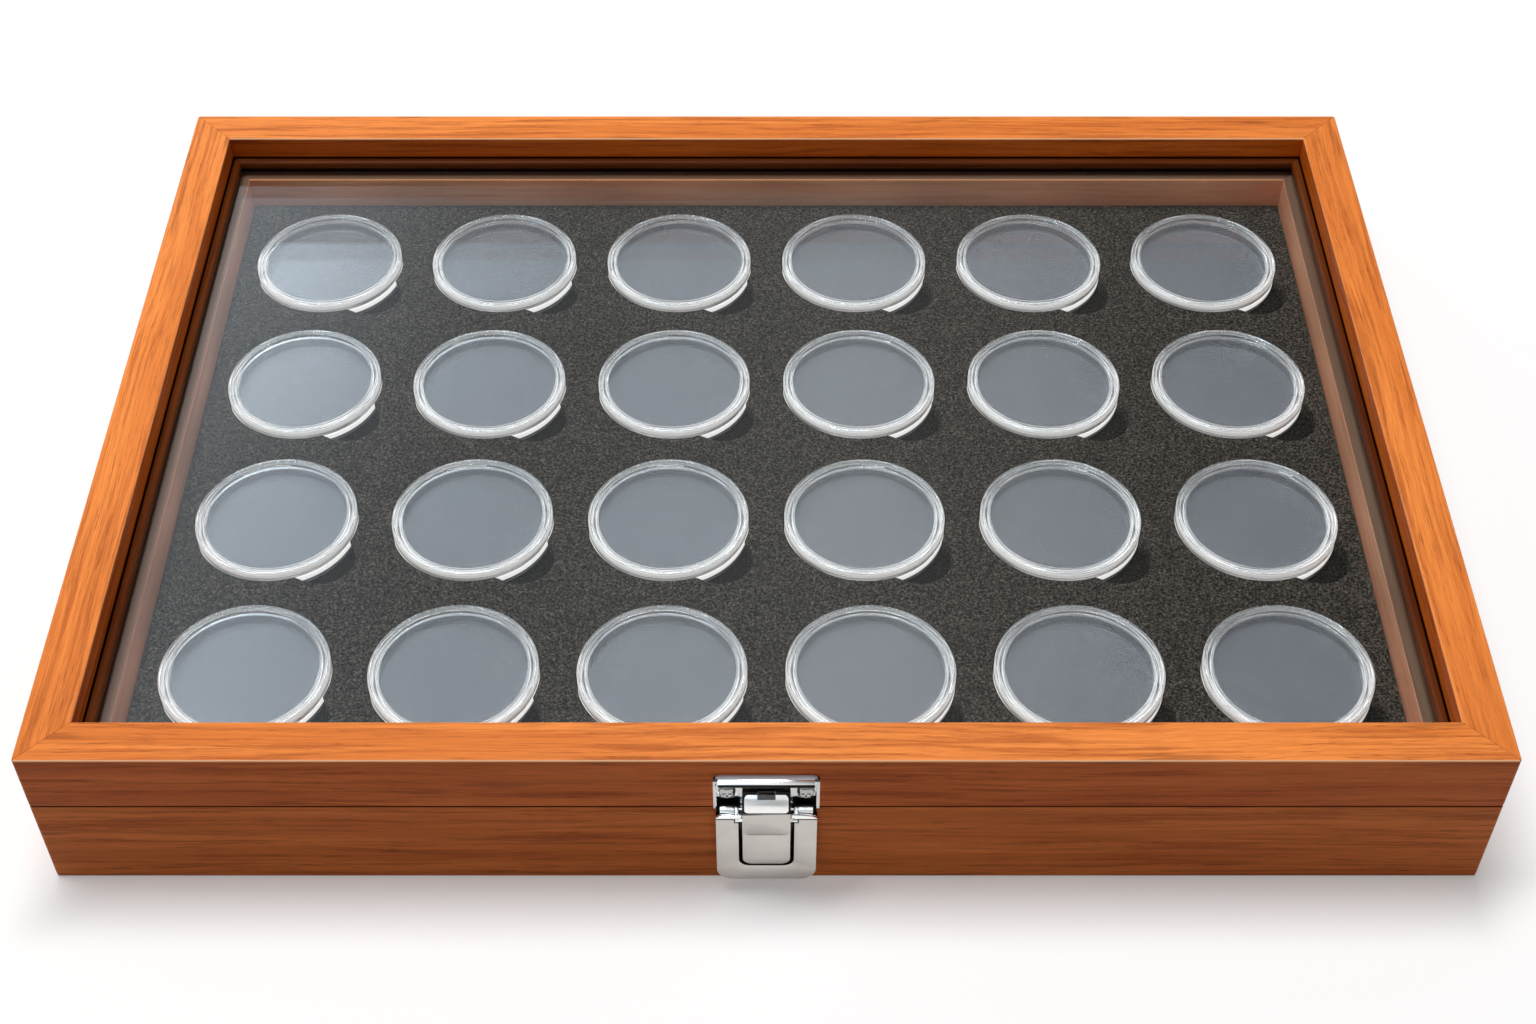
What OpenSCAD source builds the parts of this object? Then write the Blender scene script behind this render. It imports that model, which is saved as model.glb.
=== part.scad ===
// Coin display case: a mitred wooden base and a glazed lid on two butt hinges,
// a draw latch at the front, and a die-cut foam bed that holds a grid of coin capsules.
// X runs left to right, Y front to back, Z up. The origin is the middle of the underside.

/* [Case] */
// Outside width of the case, left to right
case_w = 375; // [350:1:420]
// Outside depth of the case, front to back
case_d = 266; // [252:1:300]
// Height of the base frame
base_h = 30.75; // [29:0.25:36]
// Height of the lid frame
lid_h = 18.95; // [17:0.05:24]
// Gap between the closed lid frame and the base frame
parting_gap = 0.3; // [0.2:0.05:0.5]
// Thickness of the base rails
base_wall = 13; // [12:0.1:15]
// How much thinner the lid rails are than the base rails
lid_relief = 0.6; // [0.4:0.1:1]
// Radius on the upper edges of the lid rails
lid_arris = 0.9; // [0.3:0.1:1.5]
// Radius on the upper edge of the base rails and on the liner
base_arris = 0.3; // [0.2:0.1:0.8]

/* [Bottom and liner] */
// Thickness of the bottom panel
panel_t = 3; // [2.5:0.1:4]
// Width of the rabbet that holds the bottom panel
panel_rabbet = 5; // [4:0.1:7]
// Thickness of the liner strips inside the base
liner_t = 4.65; // [3.5:0.05:6]
// Height of the liner above the base rails
liner_rise = 6.45; // [5:0.05:6.5]

/* [Glass] */
// Thickness of the glass pane
glass_t = 2.5; // [2:0.1:3]
// Depth of the glass groove in the lid rails
groove_depth = 4; // [3:0.1:5]
// Height of the glass above the lower edge of the lid
glass_seat = 6.55; // [6.5:0.05:7.5]
// Width of the bead that lies on the glass
bead_w = 2.8; // [2:0.1:4]
// Height of the bead that lies on the glass
bead_h = 2.3; // [1.5:0.1:3.5]

/* [Capsules] */
// Number of capsules across the case
columns = 6; // [4:1:6]
// Number of capsules from front to back
rows = 4; // [3:1:4]
// Outside diameter of a capsule
capsule_d = 46; // [44:0.1:47]
// Height of a closed capsule
capsule_h = 6.6; // [6.2:0.1:7.4]
// Diameter of the coin space in a capsule
coin_d = 41; // [36:0.1:41.4]
// Thickness of the coin space in a capsule
coin_t = 3.2; // [2:0.1:3.4]
// How deep the clear windows lie below the capsule's rims
window_recess = 0.6; // [0.3:0.1:0.7]

/* [Foam] */
// Thickness of the plain foam under the capsules
foam_base_t = 19.1; // [15:0.1:20]
// Thickness of the die-cut foam around the capsules
foam_cut_t = 4.6; // [4.2:0.1:5.4]
// From the edge of the foam to the outer capsules' middles, left and right
edge_x = 29.1; // [28.5:0.1:32]
// From the edge of the foam to the outer capsules' middles, front and back
edge_y = 29.85; // [28.5:0.05:32]
// Radius of the finger notch beside each pocket
notch_r = 9.4; // [8.5:0.1:10]
// From a pocket's middle to its notch's middle
notch_out = 21.2; // [19.5:0.1:21.5]

/* [Hinges] */
// From the side of the case to the middle of a hinge
hinge_inset = 62; // [40:1:90]
// Length of a hinge
hinge_len = 38; // [30:1:50]
// Thickness of a hinge leaf
leaf_t = 1; // [0.8:0.1:1.2]
// How far a leaf reaches into the rail
leaf_w = 9.5; // [8:0.1:10]
// Radius of the hinge knuckles
knuckle_r = 2.4; // [2.2:0.1:3]
// Radius of the hinge pin
hinge_pin_r = 1; // [0.8:0.05:1.2]
// Number of screws in a leaf
leaf_screws = 3; // [2:1:4]

/* [Latch] */
// Width of the latch lever
lever_w = 25.7; // [25:0.1:28]
// From the lever's pivot down to its lower edge
lever_len = 27.6; // [26:0.1:28.4]
// How far the lever's face stands out from the wood
lever_out = 3.9; // [3.8:0.1:4.4]
// Thickness of the latch's sheet metal
sheet_t = 0.8; // [0.7:0.05:0.9]
// Height of the lever's pivot above the parting line
pivot_rise = 1.3; // [1:0.1:1.6]
// Radius of the rolled barrels that hold the lever's pin
barrel_r = 1.3; // [1.2:0.05:1.35]
// Radius of the two latch pins
latch_pin_r = 0.55; // [0.4:0.05:0.6]
// Width of the claw that hooks over the keeper
claw_w = 12.2; // [11.5:0.1:12.6]
// Width of the keeper on the lid
keeper_w = 26.8; // [26.4:0.1:28]
// Height of the keeper
keeper_h = 12.7; // [12.5:0.1:13.5]
// Distance between the two screws of the keeper
keeper_pitch = 19.8; // [19.2:0.1:20.2]
// Distance between the two screws under the lever
mount_pitch = 18.4; // [17.6:0.1:19]
// Height of the pad seen in the lever's window
pad_h = 14.4; // [12:0.1:15]
// Width of the slots beside the claw and the pad
side_slot = 1; // [0.8:0.1:1.2]

/* [Screws] */
// Radius of the latch screws' shanks
screw_r = 1.1; // [0.9:0.05:1.3]
// Length of the latch screws in the wood
screw_len = 7.4; // [5:0.1:7.5]
// Radius of the latch screws' heads
screw_head_r = 2.1; // [1.9:0.05:2.2]
// Radius of the hinge screws' shanks
hinge_screw_r = 1; // [0.8:0.05:1.1]
// Length of the hinge screws
hinge_screw_len = 6; // [5:0.1:6.2]
// Radius of the hinge screws' countersunk heads
hinge_head_r = 2; // [1.7:0.05:2.2]

/* [Clearances] */
// Room around a turning pin
pin_fit = 0.05; // [0.03:0.01:0.1]
// Room around a screw in its pilot hole
screw_fit = 0.05; // [0.03:0.01:0.1]
// Room around the panel and the glass in their recesses
panel_gap = 0.3; // [0.2:0.05:0.5]
// Room above the glass in its groove
glass_gap = 0.1; // [0.05:0.05:0.2]
// Room between a capsule and its pocket
pocket_gap = 0.3; // [0.2:0.05:0.6]
// Room between the foam and the liner
foam_gap = 0.3; // [0.2:0.05:0.5]
// Room between moving metal and what it passes
metal_gap = 0.3; // [0.25:0.05:0.35]

/* [Hidden] */
$fn = 64;
EPS = 0.5;
FRONT = 0;
RIGHT = 1;
BACK = 2;
LEFT = 3;

// heights of the case
seam_z = base_h + parting_gap / 2;
lid_z = base_h + parting_gap;
lid_wall = base_wall - lid_relief;
liner_top = base_h + liner_rise;
glass_z = lid_z + glass_seat;
bead_z = glass_z + glass_t;
bead_arris = 0.2;
bead_round = min(1.1, bead_h / 2);
case_h = lid_z + lid_h;

// the foam bed and the capsule grid
inner_w = case_w - 2 * (base_wall + liner_t);
inner_d = case_d - 2 * (base_wall + liner_t);
foam_w = inner_w - 2 * foam_gap;
foam_d = inner_d - 2 * foam_gap;
cut_z = panel_t + foam_base_t;
pitch_x = (inner_w - 2 * edge_x) / (columns - 1);
pitch_y = (inner_d - 2 * edge_y) / (rows - 1);
pocket_r = capsule_d / 2 + pocket_gap;

// a capsule's section, from its axis outwards
rim_r = capsule_d / 2;
coin_r = coin_d / 2;
rim_chamfer = 0.5;
spigot_t = 1.3;
spigot_h = 1.05;
half_gap = 0.05;
window_slope = 0.4;

// the hinges
leaf_standoff = 0.4;
axis_out = knuckle_r + leaf_standoff;
hinge_y = case_d / 2 + axis_out;
hinge_x = case_w / 2 - hinge_inset;
KNUCKLES = 5;
knuckle_gap = 0.3;
knuckle_len = (hinge_len - (KNUCKLES - 1) * knuckle_gap) / KNUCKLES;
mortise_gap = 0.1;
leaf_screw_in = leaf_w / 2;
hinge_head_h = hinge_head_r - hinge_screw_r;

// the latch, measured outwards from the front face and up or down from the lever's pivot
link_out = 1.8;
link_drop = 2.2;
lever_corner = 4.5;
shoulder_drop = 0.9;
shoulder_run = 1.2;
shoulder_rise = 0.7;
arch_rise = 1.3;
hem_in = 2.4;
window_corner = 2.8;
window_drop = 1;
pin_notch = sheet_t + metal_gap;
bore_gap = 0.15;
lever_pin_out = barrel_r + metal_gap;
lever_pin_z = seam_z + pivot_rise;
claw_pin_out = lever_pin_out + link_out;
claw_pin_z = lever_pin_z - link_drop;
lever_in = lever_out - sheet_t;
lever_z = lever_pin_z - lever_len;
lever_shoulder = lever_pin_z - shoulder_drop;
window_w = claw_w + 2 * side_slot;
window_top = lever_pin_z - window_drop;
ear_r = barrel_r - bore_gap;
barrel_in = window_w / 2 + sheet_t + bore_gap;
barrel_end = lever_w / 2 - sheet_t - metal_gap;

// the plate under the lever and its pad
pad_drop = 6.3;
pad_corner = 2.4;
pad_slot = 0.9;
plate_drop = 0.4;
curl_drop = 1;
mount_rise = 1;
mount_screw_drop = 15.2;
pad_top = lever_pin_z - pad_drop;
pad_bottom = pad_top - pad_h;
window_bottom = pad_bottom - pad_slot;
mount_w = lever_w - 2 * (sheet_t + metal_gap);
mount_z = lever_z + mount_rise;
mount_top = base_h - plate_drop;
mount_screw_z = lever_pin_z - mount_screw_drop;

// the claw
claw_t = 0.6;
claw_rise = 1.2;
claw_corner = 1.8;
claw_gap = 0.2;
flap_drop = 6.4;
cap_rise = 2.4;
cap_r = 7.16;
cap_angle = 51.5;
bill_r = 0.1;
bill_rise = 5.1;
wall_in = 0.9;
claw_eye_r = 1;
cap_notch_w = 4.2;
cap_notch_in = 2;
cap_notch_out = 0.9;
crease = 0.4;
claw_out = lever_out + claw_rise;
claw_bottom = lever_pin_z - flap_drop;
cap_z = lever_pin_z + cap_rise;
bill_tip = lever_pin_z + bill_rise;
cap_axis = claw_out - cap_r;
bill_p = cap_axis + (cap_r - claw_t - bill_r) * cos(cap_angle);
bill_z = cap_z + (cap_r - claw_t - bill_r) * sin(cap_angle);
wall_p = claw_pin_out - wall_in;

// the keeper
keeper_t = 0.9;
keeper_rise = 0.55;
keeper_corner = 1.2;
flange_out = 3.2;
flange_flat = 1.4;
flange_bevel = 0.6;
flange_t = 1.1;
flange_inset = 1.3;
leg_w = 0.8;
leg_out = 1.8;
leg_bevel = 1.2;
leg_gap = 0.5;
tab_w = 13.2;
arch_gap = 0.55;
arch_drop = 1.9;
hook_w = 9.8;
hook_rise = 4;
lip_rise = 5.5;
lip_slack = 0.8;
lip_t = 0.6;
ridge_w = 10.9;
ridge_rise = 9.4;
ridge_r = 0.9;
keeper_screw_rise = 6.3;
keeper_z = lid_z + keeper_rise;
keeper_top = keeper_z + keeper_h;
leg_top = keeper_top - flange_t - leg_gap;
hook_z = lever_pin_z + hook_rise;
lip_top = lever_pin_z + lip_rise;
lip_in = bill_p - bill_r + lip_slack;
ridge_z = lever_pin_z + ridge_rise;
keeper_screw_z = lever_pin_z + keeper_screw_rise;
arch_r = screw_head_r + arch_gap;

// the screws' heads
screw_head_h = 0.7;
screw_crown_r = 0.7 * screw_head_r;
recess_reach = 0.6;
recess_width = 0.28;

CAPSULES = [for (r = [1 : rows], c = [1 : columns]) str("capsule_", r, "_", c)];

// Places a part drawn along the front edge on one side of the case.
module on_side(side) {
    out = side == FRONT || side == BACK ? case_d / 2 : case_w / 2;
    rotate([0, 0, side * 90])
        translate([0, -out, 0])
            children();
}

function side_length(side) = side == FRONT || side == BACK ? case_w : case_d;

// Runs a section along one side and cuts its ends to 45 degree mitres.
// The section's first axis points into the case and its second axis up.
module mitred(side) {
    len = side_length(side);
    on_side(side)
        intersection() {
            translate([-len / 2, 0, 0])
                rotate([90, 0, 90])
                    linear_extrude(len)
                        children();
            translate([0, 0, -EPS])
                linear_extrude(case_h + 2 * EPS)
                    polygon([[-len / 2, 0], [len / 2, 0], [0, len / 2]]);
        }
}

// A board's section with its two upper corners rounded.
module board(w, h, r_out, r_in) {
    translate([r_out, 0])
        square([w - r_out - r_in, h]);
    square([r_out, h - r_out]);
    translate([w - r_in, 0])
        square([r_in, h - r_in]);
    translate([r_out, h - r_out])
        circle(r_out);
    translate([w - r_in, h - r_in])
        circle(r_in);
}

module base_section() {
    difference() {
        board(base_wall, base_h, base_arris, base_arris);
        translate([base_wall - panel_rabbet, -EPS])
            square([panel_rabbet + EPS, panel_t + EPS]);
    }
}

module lid_section() {
    translate([0, lid_z])
        difference() {
            board(lid_wall, lid_h, lid_arris, lid_arris);
            translate([lid_wall - groove_depth, glass_seat])
                square([groove_depth + EPS, glass_t + glass_gap]);
        }
}

module liner_section() {
    translate([base_wall, panel_t])
        board(liner_t, liner_top - panel_t, base_arris, base_arris);
}

module bead_section() {
    translate([lid_wall, bead_z])
        board(bead_w, bead_h, bead_arris, bead_round);
}

// A solid drawn as distance from the front face and height, centred on X.
module profile(w) {
    translate([-w / 2, -case_d / 2, 0])
        rotate([90, 0, 90])
            linear_extrude(w)
                mirror([1, 0])
                    children();
}

// A solid drawn as X and height, from one distance off the front face to another.
module face(from, to) {
    translate([0, -case_d / 2 - from, 0])
        rotate([90, 0, 0])
            linear_extrude(to - from)
                children();
}

module both_sides() {
    children();
    mirror([1, 0, 0])
        children();
}

module at_hinges() {
    for (s = [-1, 1])
        translate([s * hinge_x, hinge_y, seam_z])
            children();
}

module at_leaf_screws() {
    step = hinge_len / leaf_screws;
    for (i = [0 : leaf_screws - 1])
        translate([(i - (leaf_screws - 1) / 2) * step, -axis_out - leaf_screw_in, 0])
            children();
}

// The recess and pilot holes for a leaf, cut downwards from the middle of the parting line.
module leaf_recess() {
    w = hinge_len + 2 * mortise_gap;
    depth = leaf_t + parting_gap / 2;
    translate([-w / 2, -axis_out - leaf_w - mortise_gap, -depth])
        cube([w, leaf_w + mortise_gap + axis_out, depth + EPS]);
    at_leaf_screws()
        translate([0, 0, -parting_gap / 2 - hinge_screw_len - screw_fit])
            cylinder(r = hinge_screw_r + screw_fit, h = hinge_screw_len + EPS);
}

// A hole for a latch screw, bored into the front rail.
module front_pilot(x, z) {
    translate([x, -case_d / 2 - EPS, z])
        rotate([-90, 0, 0])
            cylinder(r = screw_r + screw_fit, h = screw_len + screw_fit + EPS);
}

module base_rail_front() {
    color("saddlebrown")
        difference() {
            mitred(FRONT)
                base_section();
            for (s = [-1, 1])
                front_pilot(s * mount_pitch / 2, mount_screw_z);
        }
}

module base_rail_back() {
    color("saddlebrown")
        difference() {
            mitred(BACK)
                base_section();
            at_hinges()
                leaf_recess();
        }
}

module base_rail_side(side) {
    color("sienna")
        mitred(side)
            base_section();
}

module bottom_panel() {
    w = case_w - 2 * (base_wall - panel_rabbet + panel_gap);
    d = case_d - 2 * (base_wall - panel_rabbet + panel_gap);
    color("peru")
        translate([-w / 2, -d / 2, 0])
            cube([w, d, panel_t]);
}

module liner(side) {
    color("maroon")
        mitred(side)
            liner_section();
}

module foam_base() {
    color("dimgray")
        translate([-foam_w / 2, -foam_d / 2, panel_t])
            cube([foam_w, foam_d, foam_base_t]);
}

module at_pocket(r, c) {
    translate([(c - (columns + 1) / 2) * pitch_x, ((rows + 1) / 2 - r) * pitch_y, cut_z])
        children();
}

// Each pocket is a round hole with a finger notch at its front right.
module foam_insert() {
    color("darkslategray")
        difference() {
            translate([-foam_w / 2, -foam_d / 2, cut_z])
                cube([foam_w, foam_d, foam_cut_t]);
            for (r = [1 : rows], c = [1 : columns])
                at_pocket(r, c) {
                    translate([0, 0, -EPS])
                        cylinder(r = pocket_r, h = foam_cut_t + 2 * EPS);
                    rotate([0, 0, -45])
                        translate([notch_out, 0, -EPS])
                            cylinder(r = notch_r, h = foam_cut_t + 2 * EPS);
                }
        }
}

module lid_rail_front() {
    color("chocolate")
        difference() {
            mitred(FRONT)
                lid_section();
            for (s = [-1, 1])
                front_pilot(s * keeper_pitch / 2, keeper_screw_z);
        }
}

module lid_rail_back() {
    color("chocolate")
        difference() {
            mitred(BACK)
                lid_section();
            at_hinges()
                mirror([0, 0, 1])
                    leaf_recess();
        }
}

module lid_rail_side(side) {
    color("peru")
        mitred(side)
            lid_section();
}

module lid_glass() {
    in = lid_wall - groove_depth + panel_gap;
    color("lightblue", 0.3)
        translate([-case_w / 2 + in, -case_d / 2 + in, glass_z])
            cube([case_w - 2 * in, case_d - 2 * in, glass_t]);
}

module bead(side) {
    color("saddlebrown")
        mitred(side)
            bead_section();
}

// One hinge leaf with its knuckles, drawn for the base; the lid's is its mirror image.
module leaf(knuckles) {
    top = -parting_gap / 2;
    difference() {
        union() {
            translate([-hinge_len / 2, -axis_out - leaf_w, top - leaf_t])
                cube([hinge_len, leaf_w, leaf_t]);
            for (k = knuckles)
                translate([-hinge_len / 2 + k * (knuckle_len + knuckle_gap), 0, 0]) {
                    rotate([0, 90, 0])
                        cylinder(r = knuckle_r, h = knuckle_len);
                    translate([0, -axis_out - EPS, top - leaf_t])
                        cube([knuckle_len, axis_out + EPS, leaf_t]);
                }
        }
        translate([-hinge_len / 2 - EPS, 0, 0])
            rotate([0, 90, 0])
                cylinder(r = hinge_pin_r + pin_fit, h = hinge_len + 2 * EPS);
        at_leaf_screws() {
            translate([0, 0, top - hinge_head_h])
                cylinder(r1 = hinge_screw_r + screw_fit, r2 = hinge_head_r + screw_fit, h = hinge_head_h);
            translate([0, 0, top - leaf_t - EPS])
                cylinder(r = hinge_screw_r + screw_fit, h = leaf_t + EPS);
        }
    }
}

module base_leaf(side) {
    color("silver")
        translate([side * hinge_x, hinge_y, seam_z])
            leaf([0, 2, 4]);
}

module lid_leaf(side) {
    color("silver")
        translate([side * hinge_x, hinge_y, seam_z])
            mirror([0, 0, 1])
                leaf([1, 3]);
}

module hinge_pin(side) {
    color("gainsboro")
        translate([side * hinge_x - hinge_len / 2, hinge_y, seam_z])
            rotate([0, 90, 0])
                cylinder(r = hinge_pin_r, h = hinge_len);
}

// The cross recess of a screw, cut downwards from the top of its head.
module cross_recess(r, depth) {
    reach = recess_reach * r;
    slot = recess_width * r;
    for (a = [0, 90])
        rotate([0, 0, a])
            translate([-reach, -slot / 2, -depth])
                cube([2 * reach, slot, depth + EPS]);
}

module hinge_screw() {
    difference() {
        union() {
            translate([0, 0, -hinge_head_h])
                cylinder(r1 = hinge_screw_r, r2 = hinge_head_r, h = hinge_head_h);
            translate([0, 0, -hinge_screw_len])
                cylinder(r = hinge_screw_r, h = hinge_screw_len);
        }
        cross_recess(hinge_head_r, hinge_head_h / 2);
    }
}

module hinge_base_screws() {
    color("gainsboro")
        at_hinges()
            at_leaf_screws()
                translate([0, 0, -parting_gap / 2])
                    hinge_screw();
}

module hinge_lid_screws() {
    color("gainsboro")
        at_hinges()
            at_leaf_screws()
                mirror([0, 0, 1])
                    translate([0, 0, -parting_gap / 2])
                        hinge_screw();
}

// A pan-head screw driven into the front, its head resting on a plate of the given thickness.
module front_screw(x, z, plate) {
    translate([x, -case_d / 2 - plate, z])
        rotate([90, 0, 0])
            difference() {
                union() {
                    cylinder(r = screw_head_r, h = screw_head_h / 2);
                    translate([0, 0, screw_head_h / 2])
                        cylinder(r1 = screw_head_r, r2 = screw_crown_r, h = screw_head_h / 2);
                    translate([0, 0, -plate - screw_len])
                        cylinder(r = screw_r, h = plate + screw_len);
                }
                translate([0, 0, screw_head_h])
                    cross_recess(screw_head_r, screw_head_h / 2);
            }
}

module front_screws(pitch, z, plate) {
    color("gainsboro")
        for (s = [-1, 1])
            front_screw(s * pitch / 2, z, plate);
}

// The keeper's section above the parting line: plate, rain flange, ridge and hook.
module keeper_flange() {
    polygon([
        [0, keeper_top], [flange_flat, keeper_top], [flange_out, keeper_top - flange_bevel],
        [flange_out, keeper_top - flange_t], [0, keeper_top - flange_t]
    ]);
}

module keeper_leg() {
    polygon([
        [0, keeper_z], [keeper_t, keeper_z], [leg_out, keeper_z + leg_bevel],
        [leg_out, leg_top - flange_bevel], [keeper_t, leg_top], [0, leg_top]
    ]);
}

module keeper_hook() {
    translate([0, hook_z])
        square([lip_in + lip_t, sheet_t]);
    translate([lip_in, hook_z])
        square([lip_t, lip_top - lip_t / 2 - hook_z]);
    translate([lip_in + lip_t / 2, lip_top - lip_t / 2])
        circle(lip_t / 2);
}

module keeper_ridge() {
    translate([keeper_t, ridge_z])
        circle(ridge_r);
}

// The two arched openings under the screws, between the legs and the middle tab.
module keeper_windows() {
    in = tab_w / 2;
    out = keeper_w / 2 - leg_w;
    for (s = [-1, 1])
        difference() {
            translate([s * (in + out) / 2 - (out - in) / 2, keeper_z - EPS])
                square([out - in, keeper_screw_z - keeper_z - arch_drop + EPS]);
            translate([s * keeper_pitch / 2, keeper_screw_z])
                circle(arch_r);
        }
}

module keeper_plate() {
    color("silver")
        difference() {
            union() {
                face(0, keeper_t)
                    difference() {
                        translate([-keeper_w / 2, keeper_z])
                            board(keeper_w, keeper_h - flange_bevel / 2, keeper_corner, keeper_corner);
                        keeper_windows();
                    }
                for (s = [-1, 1])
                    translate([s * (keeper_w - leg_w) / 2, 0, 0])
                        profile(leg_w)
                            keeper_leg();
                profile(keeper_w - 2 * flange_inset)
                    keeper_flange();
                profile(ridge_w)
                    keeper_ridge();
                profile(hook_w)
                    keeper_hook();
            }
            for (s = [-1, 1])
                translate([s * keeper_pitch / 2, -case_d / 2 + EPS, keeper_screw_z])
                    rotate([90, 0, 0])
                        cylinder(r = screw_r + screw_fit, h = keeper_t + 2 * EPS);
            translate([-case_w / 2, -case_d / 2, 0])
                cube([case_w, 2 * ridge_r, case_h]);
        }
}

// The raised pad seen through the lever's window, carried by a web at each end.
module mount_pad() {
    r = pad_corner;
    w = claw_w;
    face(lever_in, lever_out) {
        translate([-w / 2, pad_bottom + r])
            square([w, pad_top - pad_bottom - r]);
        translate([-w / 2 + r, pad_bottom])
            square([w - 2 * r, r]);
        for (s = [-1, 1])
            translate([s * (w / 2 - r), pad_bottom + r])
                circle(r);
    }
    profile(w)
        translate([0, pad_top - sheet_t])
            square([lever_out - sheet_t / 2, sheet_t]);
    profile(w - 2 * r)
        translate([0, pad_bottom])
            square([lever_out - sheet_t / 2, sheet_t]);
}

// The plate's top edge, curled forward round the lever's pin.
module mount_barrel() {
    difference() {
        union() {
            polygon([
                [0, mount_z], [sheet_t, mount_z], [sheet_t, base_h - curl_drop],
                [lever_pin_out, lever_pin_z - barrel_r], [lever_pin_out, lever_pin_z],
                [metal_gap, lever_pin_z], [metal_gap, base_h], [0, mount_top]
            ]);
            translate([lever_pin_out, lever_pin_z])
                circle(barrel_r);
        }
        translate([lever_pin_out, lever_pin_z])
            circle(latch_pin_r + pin_fit);
    }
}

module latch_mount() {
    color("silver")
        difference() {
            union() {
                face(0, sheet_t)
                    translate([-mount_w / 2, mount_z])
                        square([mount_w, mount_top - mount_z]);
                both_sides()
                    translate([(barrel_in + barrel_end) / 2, 0, 0])
                        profile(barrel_end - barrel_in)
                            mount_barrel();
                mount_pad();
            }
            for (s = [-1, 1])
                translate([s * mount_pitch / 2, -case_d / 2 + EPS, mount_screw_z])
                    rotate([90, 0, 0])
                        cylinder(r = screw_r + screw_fit, h = sheet_t + 2 * EPS);
        }
}

// The lever's outline: rounded lower corners and a slightly arched top edge.
module lever_outline(in) {
    r = lever_corner - in;
    w = lever_w - 2 * in;
    bottom = lever_z + in;
    top = lever_shoulder;
    run = shoulder_run;
    translate([-w / 2, bottom + r])
        square([w, top - bottom - r]);
    translate([-w / 2 + r, bottom])
        square([w - 2 * r, r]);
    for (s = [-1, 1])
        translate([s * (w / 2 - r), bottom + r])
            circle(r);
    polygon([
        [-w / 2, top - EPS], [w / 2, top - EPS], [w / 2, top],
        [w / 2 - run, top + shoulder_rise], [window_w / 2, top + arch_rise],
        [-window_w / 2, top + arch_rise], [run - w / 2, top + shoulder_rise], [-w / 2, top]
    ]);
}

// The lever's window, open at the top behind the claw, with a notch for each end of the claw's pin.
module lever_window() {
    r = window_corner;
    w = window_w;
    translate([-w / 2, window_bottom + r])
        square([w, window_top - window_bottom - r]);
    translate([-w / 2 + r, window_bottom])
        square([w - 2 * r, r]);
    for (s = [-1, 1])
        translate([s * (w / 2 - r), window_bottom + r])
            circle(r);
    translate([-claw_w / 2 - claw_gap, window_top - EPS])
        square([claw_w + 2 * claw_gap, window_drop + arch_rise + EPS]);
    translate([-w / 2 - pin_notch, claw_pin_z - latch_pin_r - metal_gap])
        square([w + 2 * pin_notch, 2 * (latch_pin_r + metal_gap)]);
}

// One of the two ears that are bent back from the window's edges and carry both pins.
module lever_ear() {
    ear_bottom = claw_pin_z - ear_r - EPS;
    difference() {
        union() {
            polygon([
                [lever_pin_out, lever_pin_z + ear_r],
                [lever_in + sheet_t / 2, lever_pin_z + shoulder_drop / 2],
                [lever_in + sheet_t / 2, ear_bottom], [lever_in, ear_bottom],
                [claw_pin_out - ear_r, claw_pin_z - ear_r / sqrt(2)],
                [lever_pin_out - ear_r / sqrt(2), lever_pin_z - ear_r / sqrt(2)]
            ]);
            translate([lever_pin_out, lever_pin_z])
                circle(ear_r);
        }
        translate([lever_pin_out, lever_pin_z])
            circle(latch_pin_r + pin_fit);
        translate([claw_pin_out, claw_pin_z])
            circle(latch_pin_r + pin_fit);
    }
}

module latch_lever() {
    color("silver") {
        face(lever_in, lever_out)
            difference() {
                lever_outline(0);
                lever_window();
            }
        face(lever_out - hem_in, lever_in + sheet_t / 2)
            difference() {
                lever_outline(0);
                lever_outline(sheet_t);
                translate([-lever_w, lever_shoulder - metal_gap])
                    square([2 * lever_w, lever_len]);
            }
        both_sides()
            translate([(window_w + sheet_t) / 2, 0, 0])
                profile(sheet_t)
                    lever_ear();
    }
}

module latch_lever_pin() {
    color("gainsboro")
        profile(2 * barrel_end)
            translate([lever_pin_out, lever_pin_z])
                circle(latch_pin_r);
}

// The part of a ring of sheet between two radii, over the cap's angle.
module cap_sector(r_in, r_out) {
    reach = 2 * cap_r;
    difference() {
        intersection() {
            circle(r_out);
            polygon([[0, 0], [reach, 0], [reach, reach * tan(cap_angle / 2)],
                [reach * cos(cap_angle), reach * sin(cap_angle)]]);
        }
        circle(r_in);
    }
}

// The claw's sheet: flap, curved cap, and the bill that hooks down behind the keeper's lip.
module claw_sheet() {
    translate([claw_out - claw_t, claw_bottom])
        square([claw_t, cap_z - claw_bottom]);
    translate([cap_axis, cap_z])
        cap_sector(cap_r - claw_t, cap_r);
    translate([bill_p, bill_z])
        difference() {
            circle(bill_r + claw_t);
            circle(bill_r);
            rotate(cap_angle)
                translate([-cap_r, -cap_r])
                    square([2 * cap_r, cap_r]);
        }
    translate([bill_p - bill_r - claw_t, bill_tip])
        square([claw_t, bill_z - bill_tip]);
}

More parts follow.
